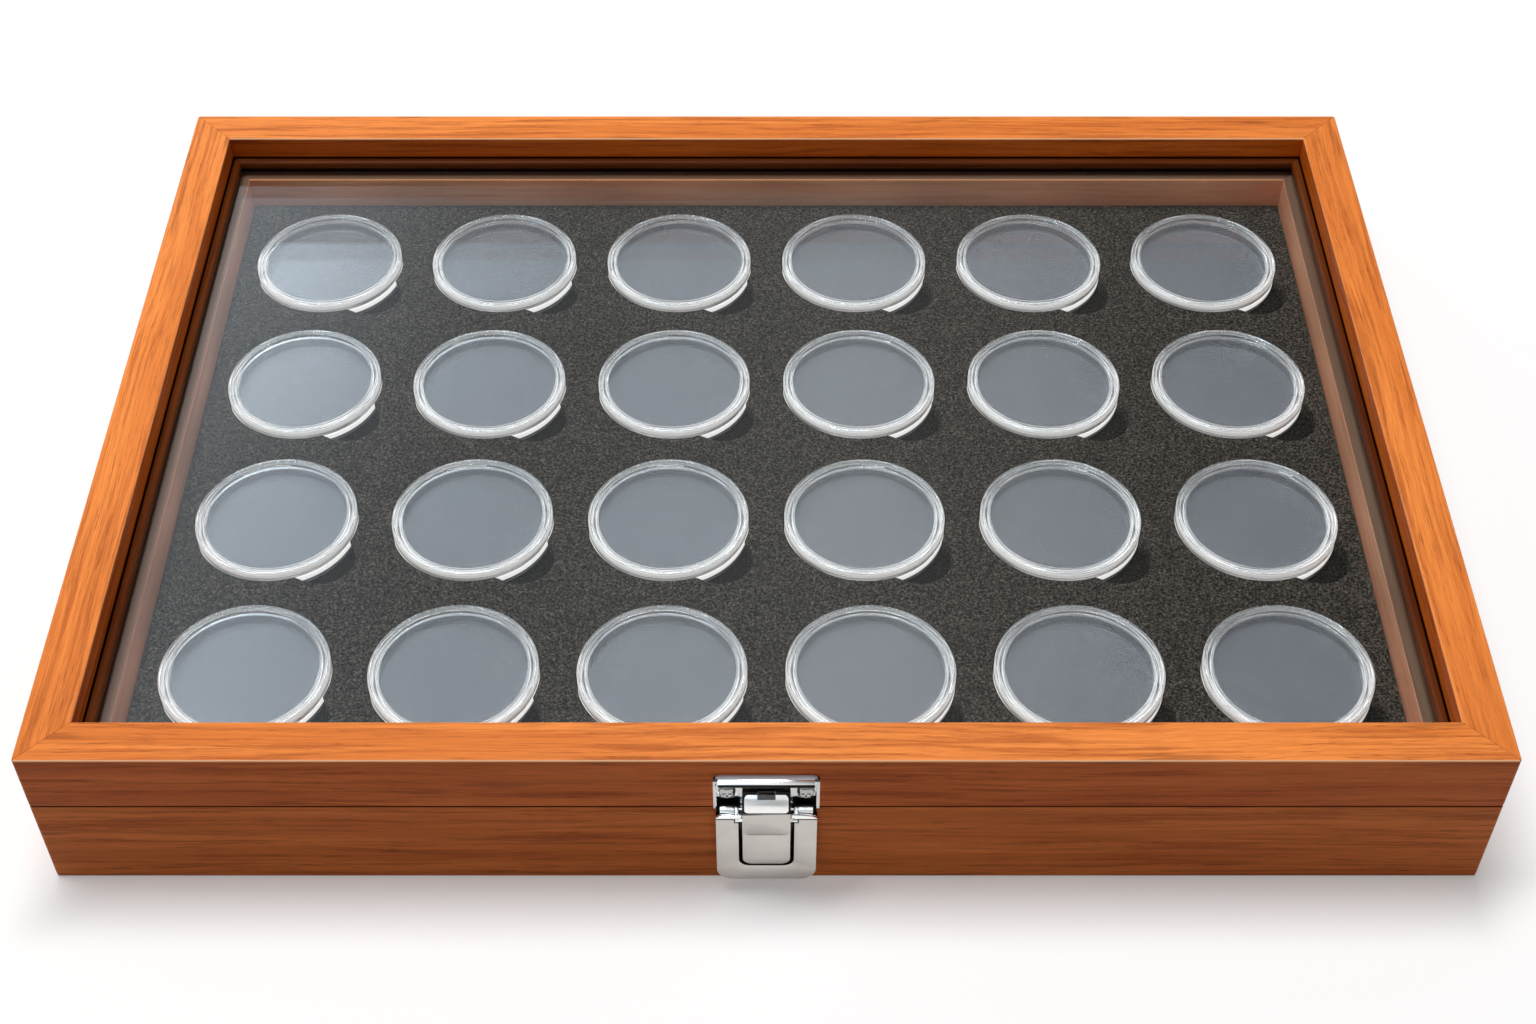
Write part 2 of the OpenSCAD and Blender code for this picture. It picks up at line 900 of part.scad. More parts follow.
// The claw's side wall, which holds the pin and closes the side of the cap.
module claw_wall() {
    difference() {
        union() {
            translate([cap_axis, cap_z])
                intersection() {
                    circle(cap_r - claw_t / 2);
                    polygon([[0, 0], [2 * cap_r, 0], [2 * cap_r, cap_r],
                        [cap_r * cos(cap_angle), cap_r * sin(cap_angle)]]);
                    translate([wall_p - cap_axis, -EPS])
                        square([cap_r, cap_r]);
                }
            polygon([
                [wall_p, cap_z + EPS], [wall_p, claw_pin_z], [claw_pin_out, claw_pin_z - claw_eye_r],
                [claw_out - claw_t / 2, claw_pin_z - 2 * claw_eye_r], [claw_out - claw_t / 2, cap_z + EPS]
            ]);
            translate([claw_pin_out, claw_pin_z])
                circle(claw_eye_r);
        }
        translate([claw_pin_out, claw_pin_z])
            circle(latch_pin_r + pin_fit);
    }
}

module latch_claw() {
    r = claw_corner;
    color("silver")
        difference() {
            union() {
                profile(claw_w)
                    claw_sheet();
                both_sides()
                    translate([(claw_w - claw_t) / 2, 0, 0])
                        profile(claw_t)
                            claw_wall();
            }
            profile(cap_notch_w)
                translate([bill_p - cap_notch_in, bill_z - cap_notch_in / 5])
                    square([cap_notch_in + cap_notch_out, cap_r]);
            profile(claw_w + 2 * EPS)
                translate([claw_out, cap_z - crease / 2])
                    rotate(45)
                        square(crease, center = true);
            face(claw_out - claw_t - EPS, claw_out + EPS)
                for (s = [-1, 1])
                    translate([s * (claw_w / 2 - r), claw_bottom + r])
                        difference() {
                            translate([s > 0 ? 0 : -r - EPS, -r - EPS])
                                square([r + EPS, r + EPS]);
                            circle(r);
                        }
        }
}

module latch_claw_pin() {
    color("gainsboro")
        profile(window_w + 2 * sheet_t)
            translate([claw_pin_out, claw_pin_z])
                circle(latch_pin_r);
}

// A capsule's lower half: window, rim and the spigot that enters the upper half.
module capsule_base() {
    inside = (capsule_h - coin_t) / 2;
    joint = capsule_h / 2 - half_gap;
    rotate_extrude()
        polygon([
            [0, window_recess], [coin_r - window_slope, window_recess], [coin_r, 0],
            [rim_r - rim_chamfer, 0], [rim_r, rim_chamfer], [rim_r, joint],
            [coin_r + spigot_t, joint], [coin_r + spigot_t, joint + spigot_h],
            [coin_r, joint + spigot_h], [coin_r, inside], [0, inside]
        ]);
}

// A capsule's upper half, which slips over the spigot.
module capsule_lid() {
    inside = (capsule_h + coin_t) / 2;
    joint = capsule_h / 2 + half_gap;
    groove_r = coin_r + spigot_t + half_gap;
    rotate_extrude()
        polygon([
            [0, capsule_h - window_recess], [coin_r - window_slope, capsule_h - window_recess],
            [coin_r, capsule_h], [rim_r - rim_chamfer, capsule_h],
            [rim_r, capsule_h - rim_chamfer], [rim_r, joint], [groove_r, joint],
            [groove_r, joint + spigot_h], [coin_r, joint + spigot_h], [coin_r, inside], [0, inside]
        ]);
}

module capsule(r, c) {
    color("lightsteelblue", 0.4)
        at_pocket(r, c) {
            capsule_base();
            capsule_lid();
        }
}

base_rail_front();
base_rail_back();
base_rail_side(LEFT);  // base_rail_left
base_rail_side(RIGHT);  // base_rail_right
bottom_panel();
liner(FRONT);  // liner_front
liner(BACK);  // liner_back
liner(LEFT);  // liner_left
liner(RIGHT);  // liner_right
foam_base();
foam_insert();
lid_rail_front();
lid_rail_back();
lid_rail_side(LEFT);  // lid_rail_left
lid_rail_side(RIGHT);  // lid_rail_right
lid_glass();
bead(FRONT);  // bead_front
bead(BACK);  // bead_back
bead(LEFT);  // bead_left
bead(RIGHT);  // bead_right
base_leaf(-1);  // hinge_left_base_leaf
lid_leaf(-1);  // hinge_left_lid_leaf
hinge_pin(-1);  // hinge_left_pin
base_leaf(1);  // hinge_right_base_leaf
lid_leaf(1);  // hinge_right_lid_leaf
hinge_pin(1);  // hinge_right_pin
hinge_base_screws();
hinge_lid_screws();
keeper_plate();
front_screws(keeper_pitch, keeper_screw_z, keeper_t);  // keeper_screws
latch_mount();
front_screws(mount_pitch, mount_screw_z, sheet_t);  // latch_mount_screws
latch_lever();
latch_lever_pin();
latch_claw();
latch_claw_pin();
for (r = [1 : rows], c = [1 : columns])
    capsule(r, c);
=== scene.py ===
# %% [markdown]
# # A glazed case for coin capsules
# The object is a shallow wooden case. Its lid is a mitred frame round a pane of glass, and inside lies a
# sheet of dark foam with round pockets for clear capsules. A small bright latch closes it at the front. The
# measured model gives every piece's place, so each new piece reads its size from there and adds the finish:
# rounded arrises, grain, lacquer, clear plastic, glass and plated metal.

import math

import bmesh
import bpy
import numpy as np
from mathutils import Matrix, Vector


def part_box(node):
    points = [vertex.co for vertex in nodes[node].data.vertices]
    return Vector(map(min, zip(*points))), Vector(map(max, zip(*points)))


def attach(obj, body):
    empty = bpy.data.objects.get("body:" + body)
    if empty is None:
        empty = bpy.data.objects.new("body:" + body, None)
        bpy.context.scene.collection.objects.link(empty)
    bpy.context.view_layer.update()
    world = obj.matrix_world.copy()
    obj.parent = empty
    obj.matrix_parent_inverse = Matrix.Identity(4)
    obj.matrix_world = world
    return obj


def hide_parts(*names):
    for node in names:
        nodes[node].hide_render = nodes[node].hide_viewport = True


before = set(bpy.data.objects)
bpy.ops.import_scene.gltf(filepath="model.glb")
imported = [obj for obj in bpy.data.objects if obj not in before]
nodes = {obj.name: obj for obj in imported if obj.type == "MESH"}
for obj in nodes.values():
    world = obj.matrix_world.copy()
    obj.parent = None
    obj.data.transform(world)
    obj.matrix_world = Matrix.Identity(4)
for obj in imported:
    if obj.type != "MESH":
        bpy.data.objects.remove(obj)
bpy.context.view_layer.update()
MM = 0.001

# %% [markdown]
# The outer size of the case is the size of its lid. The side pieces and the front pieces meet at 45
# degrees, so every bar is described by how far it lies inside the case's outer faces, and the outer faces
# are read here once.

# %% Read the sizes of the case
half_width, half_depth, case_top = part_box("lid_rail_right")[1]
print("case in mm:", [round(v / MM, 2) for v in (2 * half_width, 2 * half_depth, case_top)])

# %% [markdown]
# The camera stands in front of the case and looks down at it. Its height, distance and lens come from the
# perspective of the case itself: how fast the long sides run together gives the distance, and the height of
# the front against the depth of the lid gives the slope. A slight shift puts the case where the picture has
# it.

# %% Place the camera
FRAME_PX = (1536, 1024)
FOCAL_PX = 2227.1
CENTRE_PX = (766.4, 520.9)
SENSOR_MM = 36.0
camera_place = Vector((0.0, -469.2, 491.9)) * MM
camera_slope = math.radians(46.58)
camera = bpy.data.objects.new("camera", bpy.data.cameras.new("camera"))
camera.data.sensor_width = SENSOR_MM
camera.data.lens = FOCAL_PX * SENSOR_MM / FRAME_PX[0]
camera.data.shift_x = (FRAME_PX[0] / 2 - CENTRE_PX[0]) / FRAME_PX[0]
camera.data.shift_y = (CENTRE_PX[1] - FRAME_PX[1] / 2) / FRAME_PX[0]
camera.data.clip_start = 0.01
camera.data.clip_end = 50
camera.location = camera_place
camera.rotation_euler = (math.pi / 2 - camera_slope, 0, 0)
bpy.context.scene.collection.objects.link(camera)
bpy.context.scene.camera = camera
bpy.context.scene.view_settings.view_transform = "Standard"
print("lens in mm:", round(camera.data.lens, 2))

# %% [markdown]
# A finish is a tree of nodes, but its maths reads best as maths. The class Wire wraps one output of a node,
# and adding or multiplying wires adds the Math node that does it. The class Finish holds one material. Its
# method node makes any other node: settings first, then the values or wires of its inputs.
# Colours never go through Math nodes, which would turn them grey. They go through Mix.

# %% Shader maths as expressions
class Wire:
    """One output of a node, on which + - * and powers build Math nodes."""

    def __init__(self, finish, socket):
        self.finish, self.socket = finish, socket

    def maths(self, operation, *values):
        return self.finish.node("ShaderNodeMath", {"operation": operation}, dict(enumerate(values)))

    def __add__(self, other):
        return self.maths("ADD", self, other)

    def __sub__(self, other):
        return self.maths("SUBTRACT", self, other)

    def __rsub__(self, other):
        return self.maths("SUBTRACT", other, self)

    def __mul__(self, other):
        return self.maths("MULTIPLY", self, other)

    def __pow__(self, other):
        return self.maths("POWER", self, other)

    __radd__, __rmul__ = __add__, __mul__

    def cosine(self):
        return self.maths("COSINE", self)

    def size(self):
        """The value without its sign."""
        return self.maths("ABSOLUTE", self)

    def at_least(self, low):
        return self.maths("MAXIMUM", self, low)

    def clip(self):
        """The value held between 0 and 1."""
        return self.finish.node("ShaderNodeClamp", {}, {"Value": self})


class Finish:
    """One material, built node by node around a Principled shader."""

    def __init__(self, name):
        self.material = bpy.data.materials.new(name)
        self.material.use_nodes = True
        self.tree = self.material.node_tree
        self.tree.nodes.clear()
        self.output = self.tree.nodes.new("ShaderNodeOutputMaterial")

    def set_input(self, socket, value):
        if isinstance(value, Wire):
            self.tree.links.new(value.socket, socket)
        else:
            socket.default_value = value

    def node(self, kind, settings, inputs, output=0):
        """Adds one node: its settings, its inputs as values or wires, and which output to go on with."""
        made = self.tree.nodes.new(kind)
        for key, value in settings.items():
            setattr(made, key, value)
        for key, value in inputs.items():
            self.set_input(made.inputs[key], value)
        return Wire(self, made.outputs[output])

    def noise(self, where, scale, detail=2.0, roughness=0.5):
        return self.node("ShaderNodeTexNoise", {}, {
            "Vector": where, "Scale": scale, "Detail": detail, "Roughness": roughness})

    def stretch(self, where, scale, place=(0, 0, 0), turn=(0, 0, 0)):
        """Coordinates turned, moved and then scaled, so that a pattern can be long in one direction."""
        moved = self.node("ShaderNodeMapping", {}, {"Vector": where, "Location": place, "Rotation": turn})
        return self.node("ShaderNodeMapping", {}, {"Vector": moved, "Scale": scale})

    def band(self, value, low, high, to_low=0.0, to_high=1.0):
        """A value mapped from one range to another with smooth ends."""
        return self.node("ShaderNodeMapRange", {"interpolation_type": "SMOOTHSTEP"}, {
            "Value": value, "From Min": low, "From Max": high, "To Min": to_low, "To Max": to_high})

    def mix(self, factor, first, second, blend="MIX"):
        """Two colours mixed; the colour sockets of the Mix node are numbers 6 and 7, and output 2."""
        inputs = {0: factor, 6: first, 7: second}
        for key in (6, 7):
            if not isinstance(inputs[key], Wire):
                inputs[key] = (*inputs[key], 1)
        return self.node("ShaderNodeMix", {"data_type": "RGBA", "blend_type": blend}, inputs, output=2)

    def bump(self, height, strength, distance):
        return self.node("ShaderNodeBump", {}, {
            "Height": height, "Strength": strength, "Distance": distance})

    def principled(self, **inputs):
        names = {key.replace("_", " "): value for key, value in inputs.items()}
        return self.node("ShaderNodeBsdfPrincipled", {}, names)

    def where(self, place=(0, 0, 0), turn=(0, 0, 0)):
        """The piece's own coordinates in metres."""
        wire = self.node("ShaderNodeTexCoord", {}, {}, output="Object")
        return self.stretch(wire, (1, 1, 1), place, turn)

    def axes(self):
        """The piece's own x, y and z in metres as three wires."""
        split = self.tree.nodes.new("ShaderNodeSeparateXYZ")
        self.set_input(split.inputs[0], self.where())
        return [Wire(self, split.outputs[i]) for i in range(3)]

    def tinted(self, factor, colour, tint):
        """A colour multiplied by a tint where factor is 1."""
        return self.mix(factor, colour, self.mix(1.0, colour, tint, "MULTIPLY"))

    def mirror_share(self, straight=0.04):
        """How much a clear surface mirrors: a few hundredths straight on, and with the fifth power of the
        facing angle all of it along the surface. It is the same from inside as from outside."""
        facing = self.node("ShaderNodeLayerWeight", {}, {"Blend": 0.5}, output="Facing")
        return straight + (1 - straight) * facing ** 5.0

    def done(self, shader):
        self.tree.links.new(shader.socket, self.output.inputs["Surface"])
        return self.material


print("shader helpers ready")

# %% [markdown]
# The studio is plain: a pale floor, a soft lamp above and a little behind, and a weak glow from all round.
# The lamp makes the top of the case bright and leaves the front darker, and it throws a short soft shadow
# forward. The floor shows white to the camera, and to glass and metal, while it throws back less light than
# white would, which keeps the front of the case calm. It also glows a little for the camera, so that it
# stays white further out, where the lamp is weaker, and keeps its shadow.

# %% Floor
def ray_kinds(finish):
    """Two wires that are 1 or 0: whether the camera sees this point directly, and whether it shows in a
    mirror or through clear plastic."""
    path = finish.tree.nodes.new("ShaderNodeLightPath")
    camera_ray, glossy, through = (Wire(finish, path.outputs[name])
                                   for name in ("Is Camera Ray", "Is Glossy Ray", "Is Transmission Ray"))
    return camera_ray, ((glossy + through) * (1 - camera_ray)).clip()


FLOOR_HALF = 6.0
FLOOR_SEEN, FLOOR_LIT = (0.80, 0.80, 0.80), (0.30, 0.30, 0.30)
FLOOR_GLOW = 0.235
floor_mesh = bpy.data.meshes.new("floor")
floor_mesh.from_pydata([(-FLOOR_HALF, -FLOOR_HALF, 0), (FLOOR_HALF, -FLOOR_HALF, 0),
                        (FLOOR_HALF, FLOOR_HALF, 0), (-FLOOR_HALF, FLOOR_HALF, 0)], [], [(0, 1, 2, 3)])
floor = bpy.data.objects.new("floor", floor_mesh)
bpy.context.scene.collection.objects.link(floor)
floor_finish = Finish("floor white")
seen, mirrored = ray_kinds(floor_finish)
shown = (seen + mirrored).clip()
floor_matt = floor_finish.node("ShaderNodeBsdfDiffuse", {}, {
    "Color": floor_finish.mix(shown, FLOOR_LIT, FLOOR_SEEN)})
floor_glow = floor_finish.node("ShaderNodeEmission", {}, {
    "Color": (1, 1, 1, 1), "Strength": shown * FLOOR_GLOW})
floor_shader = floor_finish.node("ShaderNodeAddShader", {}, {0: floor_matt, 1: floor_glow})
floor_mesh.materials.append(floor_finish.done(floor_shader))
print("floor ready")

# %% [markdown]
# The sky is pure white where the camera looks at it. As a light it is weak. What glass and metal mirror
# lies between: bright near the horizon and a little blue at the left, dimmer high up behind the case, with
# a soft bright window low at the left, and a dark room behind the camera, which gives plated edges their
# thin dark lines.

# %% World
WORLD_GLOW = 0.22
WINDOW_LIGHT = 2.2
SIDE_LIGHT = 1.15
BACK_DIM, RIGHT_DIM, ROOM_DIM = 0.36, 0.56, 0.93
LEFT_BLUE = (0.78, 0.89, 1.0)
world = bpy.data.worlds.new("studio")
bpy.context.scene.world = world
world.use_nodes = True


class Sky(Finish):
    """The world's node tree, with the same helpers."""

    def __init__(self, tree):
        self.tree = tree
        self.tree.nodes.clear()
        self.output = tree.nodes.new("ShaderNodeOutputWorld")


sky = Sky(world.node_tree)
towards = sky.node("ShaderNodeTexCoord", {}, {}, output="Generated")
aim = sky.tree.nodes.new("ShaderNodeSeparateXYZ")
sky.set_input(aim.inputs[0], towards)
right, ahead, up = (Wire(sky, aim.outputs[i]) for i in range(3))
seen, mirrored = ray_kinds(sky)
upper_back = sky.band(up, 0.34, 0.60) * sky.band(ahead, -0.10, 0.40)
dimmed = 1 - upper_back * (BACK_DIM + RIGHT_DIM * sky.band(right, -0.02, 0.24))
side_glow = sky.band(0 - right, 0.12, 0.34) * sky.band(up, 0.10, 0.40)
window = sky.band(0 - right, 0.06, 0.26) * sky.band(up, 0.74, 0.56)
window = window * sky.band(up, 0.10, 0.40) * sky.band(ahead, 0.3, 0.6)
dark_room = sky.band(0 - ahead, 0.55, 0.85) * sky.band(up, 0.42, 0.20)
reflected = (dimmed + window * WINDOW_LIGHT + side_glow * SIDE_LIGHT) * (1 - dark_room * ROOM_DIM)
sky_strength = (1 - (seen + mirrored).clip()) * WORLD_GLOW + seen + mirrored * reflected
sky_tint = sky.mix(mirrored * sky.band(right, 0.25, -0.25), (1, 1, 1), LEFT_BLUE)
sky_shader = sky.node("ShaderNodeBackground", {}, {"Color": sky_tint, "Strength": sky_strength})
sky.tree.links.new(sky_shader.socket, sky.output.inputs["Surface"])
print("world ready")

# %% Lamp
LAMP_PLACE = Vector((-0.30, 0.36, 2.3))
LAMP_WIDTH, LAMP_DEPTH = 1.5, 0.45
LAMP_WATTS = 46
light = bpy.data.lights.new("key lamp", "AREA")
light.shape = "RECTANGLE"
light.size, light.size_y = LAMP_WIDTH, LAMP_DEPTH
light.energy = LAMP_WATTS
lamp = bpy.data.objects.new("key lamp", light)
lamp.location = LAMP_PLACE
lamp.rotation_euler = (-LAMP_PLACE).to_track_quat("-Z", "Y").to_euler()
bpy.context.scene.collection.objects.link(lamp)
print("studio ready")

# %% [markdown]
# Every new piece is made the same way. Its points and faces are worked out as whole arrays, put into a
# mesh, given smooth shading that breaks at real edges, and tied to the body it moves with and the measured
# pieces it stands for. A few measured pieces are right as they are, and only get a new material.

# %% Turn arrays into a piece
SHARP = math.radians(32)


def add_piece(name, points, faces, material, body, stands_for, merge=0.0):
    """points is an array of rows x, y, z in metres; faces is a list of index tuples. The faces are turned
    outwards, points closer than merge are joined, and edges sharper than SHARP stay crisp."""
    mesh = bpy.data.meshes.new(name)
    mesh.from_pydata(np.asarray(points).reshape(-1, 3).tolist(), [], faces)
    work = bmesh.new()
    work.from_mesh(mesh)
    if merge:
        bmesh.ops.remove_doubles(work, verts=work.verts, dist=merge)
    bmesh.ops.recalc_face_normals(work, faces=work.faces)
    work.to_mesh(mesh)
    work.free()
    mesh.shade_smooth()
    mesh.set_sharp_from_angle(angle=SHARP)
    mesh.materials.append(material)
    piece = bpy.data.objects.new(name, mesh)
    bpy.context.scene.collection.objects.link(piece)
    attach(piece, body)
    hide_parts(*stands_for)
    return piece


def refinish(node, material):
    """Gives a measured node a new material, and returns the node's piece."""
    piece = nodes[node]
    piece.data.materials.clear()
    piece.data.materials.append(material)
    return piece


def grid_faces(rows, columns, start=0):
    """Four-sided faces of a grid of points numbered ring by ring: point c of ring r, the next one along the
    ring, and the same two of ring r + 1."""
    r, c = np.meshgrid(np.arange(rows - 1), np.arange(columns), indexing="ij")
    r2, c2 = r + 1, (c + 1) % columns
    quads = np.stack([r * columns + c, r * columns + c2, r2 * columns + c2, r2 * columns + c], axis=-1)
    return [tuple(q) for q in (quads.reshape(-1, 4) + start).tolist()]


def closed_faces(rows, columns, start=0):
    """The faces of such a grid, and one more over its first ring and over its last."""
    ends = [tuple(range(start + ring * columns, start + (ring + 1) * columns)) for ring in (0, rows - 1)]
    return grid_faces(rows, columns, start) + ends


def rounded(corners, steps=4, lead=0.25 * MM):
    """A closed outline whose corners are arcs. Each corner is (p, z, radius). The arc touches both edges at
    radius times the cotangent of half the corner's angle, and one extra point lies a little further out on
    each edge, so that the shading of the flat faces stays flat."""
    outline = []
    count = len(corners)
    for i, (p, z, radius) in enumerate(corners):
        here = np.array([p, z])
        before = np.array(corners[i - 1][:2]) - here
        after = np.array(corners[(i + 1) % count][:2]) - here
        before, after = before / np.linalg.norm(before), after / np.linalg.norm(after)
        if radius <= 0:
            outline += [here + before * lead, here, here + after * lead]
            continue
        half = 0.5 * math.acos(float(np.clip(before @ after, -1, 1)))
        reach = radius / math.tan(half)
        middle = here + (before + after) / np.linalg.norm(before + after) * radius / math.sin(half)
        first, last = here + before * reach - middle, here + after * reach - middle
        sweep = math.pi - 2 * half
        t = np.linspace(0, 1, steps + 1)[:, None]
        arc = middle + (np.sin((1 - t) * sweep) * first + np.sin(t * sweep) * last) / math.sin(sweep)
        outline += [here + before * (reach + lead), *arc, here + after * (reach + lead)]
    return np.array(outline)


print("mesh helpers ready")

# %% [markdown]
# The rails are veneered in a warm reddish wood under satin lacquer. Real grain is long and thin: broad
# bands of tone, wavy dark streaks, short dark pores and the finest fibres, all drawn out along the board. A
# picture of wood would do, but it repeats and has to be fitted to every face. Noise in three dimensions,
# stretched along the board, runs round the corners as solid wood does, and each rail gets its own stretch
# of it.

# %% Veneer
GRAIN_ORANGE = (0.78, 0.215, 0.038)
GRAIN_LIGHT = (0.96, 0.300, 0.062)
GRAIN_DEEP = (0.46, 0.100, 0.016)
PORE_DARK = (0.17, 0.030, 0.006)
STREAKS, FIBRES, DARK_BANDS, PORES = 0.70, 0.28, 0.46, 0.50
WANDER = 6 * MM
GRAIN_LAYERS = {
    "tone": ((7, 150, 150), (0, 0, 0), 3.0, 0.55),
    "streak": ((16, 620, 620), (0, 0, 0), 4.0, 0.6),
    "dark": ((22, 330, 330), (0.3, 0.1, 0.2), 3.0, 0.55),
    "fibre": ((90, 2600, 2600), (0, 0, 0), 2.0, 0.6),
    "pores": ((170, 3600, 3600), (0.7, 0.2, 0.5), 1.0, 0.5)}


def wood(name, side, place, orange=GRAIN_ORANGE, light=GRAIN_LIGHT, deep=GRAIN_DEEP, pore=PORE_DARK,
         rough=0.42, shine=0.12, figure=1.0, dress=None):
    """Wood whose grain runs along one side of the case. Each of GRAIN_LAYERS is a noise: how many features
    lie in a metre along the grain and across it, where the noise starts, its detail and its roughness.
    dress, if given, is a function that changes the finished colour where the piece needs it."""
    w = Finish(name)
    turn = (0, 0, math.pi / 2) if side in ("left", "right") else (0, 0, 0)
    base = w.where(place, turn)
    sway = (w.noise(w.stretch(base, (9, 30, 30)), 1.0, 2.0) - 0.5) * WANDER
    bent = w.node("ShaderNodeVectorMath", {"operation": "ADD"}, {
        0: base, 1: w.node("ShaderNodeCombineXYZ", {}, {"Y": sway, "Z": sway})})
    tone, streak, dark, fibre, pores = (
        w.noise(w.stretch(bent, per_metre, start), 1.0, detail, coarse)
        for per_metre, start, detail, coarse in GRAIN_LAYERS.values())
    patch = w.noise(w.stretch(base, (28, 90, 90), (0.5, 0, 0)), 1.0)
    pore_mask = w.band(pores, 0.60, 0.70) * w.band(streak, 0.40, 0.60)
    dark_mask = w.band(dark, 0.56, 0.70) * w.band(patch, 0.44, 0.60)
    colour = w.mix(w.band(tone, 0.36, 0.64), orange, light)
    colour = w.mix(w.band(streak, 0.46, 0.68) * (STREAKS * figure), colour, deep)
    colour = w.mix(w.band(fibre, 0.40, 0.66) * (FIBRES * figure), colour, deep)
    colour = w.mix(dark_mask * (DARK_BANDS * figure), colour, pore)
    colour = w.mix(pore_mask * (PORES * figure), colour, pore)
    if dress:
        colour = dress(w, colour)
    height = 1 - pore_mask * 0.7 - w.band(fibre, 0.3, 0.8) * 0.3
    roughness = w.band(streak, 0.3, 0.8, rough - 0.04, rough + 0.10)
    return w.done(w.principled(
        Base_Color=colour, Roughness=roughness, Normal=w.bump(height, 0.35, 0.05 * MM),
        Specular_IOR_Level=shine))


print("veneer ready")

# %% [markdown]
# A rail is a section carried along one side of the case, cut to 45 degrees at both ends. The real one is
# planed, mitred and glued, and its arrises are eased with a few strokes of sandpaper.
# It could be a box with a bevel, but a box can't hold the groove for the glass or the round of the outer
# corner. So the section is drawn once as an outline with rounded corners, and it is carried along a path of
# stations. At the case's corner the stations turn about a small centre, which rounds the outside and keeps
# the inside sharp.

# %% Bars with mitred ends
SIDES = {"front": 0, "right": 1, "back": 2, "left": 3}
CORNER_ROUND = 0.9 * MM
MITRE_GAP = 0.06 * MM
CORNER_STEPS = 5
LEAD_IN = 0.3


def bar(name, side, section, material, body, corner=CORNER_ROUND):
    """Carries section, rows of depth inside the case's outer face and height, along one side.
    A station at turn t, from 0 to 45 degrees, puts a point of depth p less than corner at
    along = half - corner + (corner - p) sin t, depth = corner - (corner - p) cos t. A deeper point keeps
    its depth and closes in on the mitre: along = half - p - LEAD_IN (p - corner) (1 - tan t)."""
    quarter = SIDES[side]
    half = half_width if quarter % 2 == 0 else half_depth
    out = half_depth if quarter % 2 == 0 else half_width
    turns = np.linspace(0, math.pi / 4, CORNER_STEPS + 1)
    p, z = section[:, 0], section[:, 1]
    t = turns[:, None]
    outside = p[None, :] < corner
    along = np.where(outside, half - corner + (corner - p) * np.sin(t),
                     half - p - LEAD_IN * (p - corner) * (1 - np.tan(t))) - MITRE_GAP * t / turns[-1]
    depth = np.where(outside, corner - (corner - p) * np.cos(t), p)
    along = np.concatenate([-along[::-1], along])
    depth = np.concatenate([depth[::-1], depth])
    height = np.broadcast_to(z, along.shape)
    ahead, sideways = along, depth - out
    for _ in range(quarter):
        ahead, sideways = -sideways, ahead
    points = np.stack([ahead, sideways, height], axis=-1)
    return add_piece(name, points, closed_faces(*along.shape), material, body, stands_for=(name,))


def depth_range(node):
    """How far a front piece's near and far sides lie inside the front face, and its lowest and highest
    point."""
    low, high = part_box(node)
    return low.y + half_depth, high.y + half_depth, low.z, high.z


glass_low, glass_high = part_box("lid_glass")
glass_edge = glass_low.y + half_depth
ARRIS = 0.5 * MM
EASED = 0.3 * MM
PARTING_ARRIS = 0.35 * MM
GLASS_ROOM = 0.1 * MM
near, lid_inner, z0, z1 = depth_range("lid_rail_front")
groove_in = glass_edge - EASED
lid_section = rounded([
    (near, z0, PARTING_ARRIS), (lid_inner, z0, EASED),
    (lid_inner, glass_low.z, 0), (groove_in, glass_low.z, 0),
    (groove_in, glass_high.z + GLASS_ROOM, 0), (lid_inner, glass_high.z + GLASS_ROOM, 0),
    (lid_inner, z1, ARRIS), (near, z1, ARRIS)])
near, base_inner, z0, z1 = depth_range("base_rail_front")
panel_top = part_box("bottom_panel")[1].z
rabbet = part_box("bottom_panel")[0].y + half_depth - EASED
base_section = rounded([
    (near, z0, 2 * EASED), (rabbet, z0, 0), (rabbet, panel_top, 0), (base_inner, panel_top, 0),
    (base_inner, z1, EASED), (near, z1, PARTING_ARRIS)])
lid_foot, lid_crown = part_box("lid_rail_front")[0].z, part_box("lid_rail_front")[1].z
base_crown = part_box("base_rail_front")[1].z
bead_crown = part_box("bead_front")[1].z
print("gap at the parting line in mm:", round((lid_foot - base_crown) / MM, 2))

# %% [markdown]
# Some of the light and shade on the frame is painted into the veneer's colour. Painted shade puts a dark
# line in the gap at the parting line and in the quirk by the bead, makes the inner walls and the sides a
# deeper brown than the top, and blackens the front behind the latch's plates. Painted highlights make the
# top arrises a little lighter. All of it follows the place on the rail, so each tone is a mask worked out
# from how deep inside the case's outer face a point lies and how high it is.

# %% Tones of the rails
GAP_SHADE_BLACK = (0.012, 0.004, 0.002)
ARRIS_HIGHLIGHT = (1.0, 0.60, 0.34)
INNER_WALL_SHADE = (0.68, 0.46, 0.14)
LID_SIDE_SHADE = (0.92, 0.72, 0.70)
BASE_SIDE_SHADE = (1.0, 0.88, 0.90)
OUTER_HIGHLIGHT = {"front": 0.8}
INNER_HIGHLIGHT = {"back": 0.7}
LITTLE_HIGHLIGHT = 0.12
LATCH_SHADE_FOOT = (14 * MM, 15 * MM)
keeper_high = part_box("keeper_plate")[1]


def inset(w, side):
    """How far inside the case's outer face a point of this side's rail lies."""
    axis, half, sign = {"front": (1, half_depth, 1), "back": (1, half_depth, -1),
                        "left": (0, half_width, 1), "right": (0, half_width, -1)}[side]
    return w.axes()[axis] * sign + half


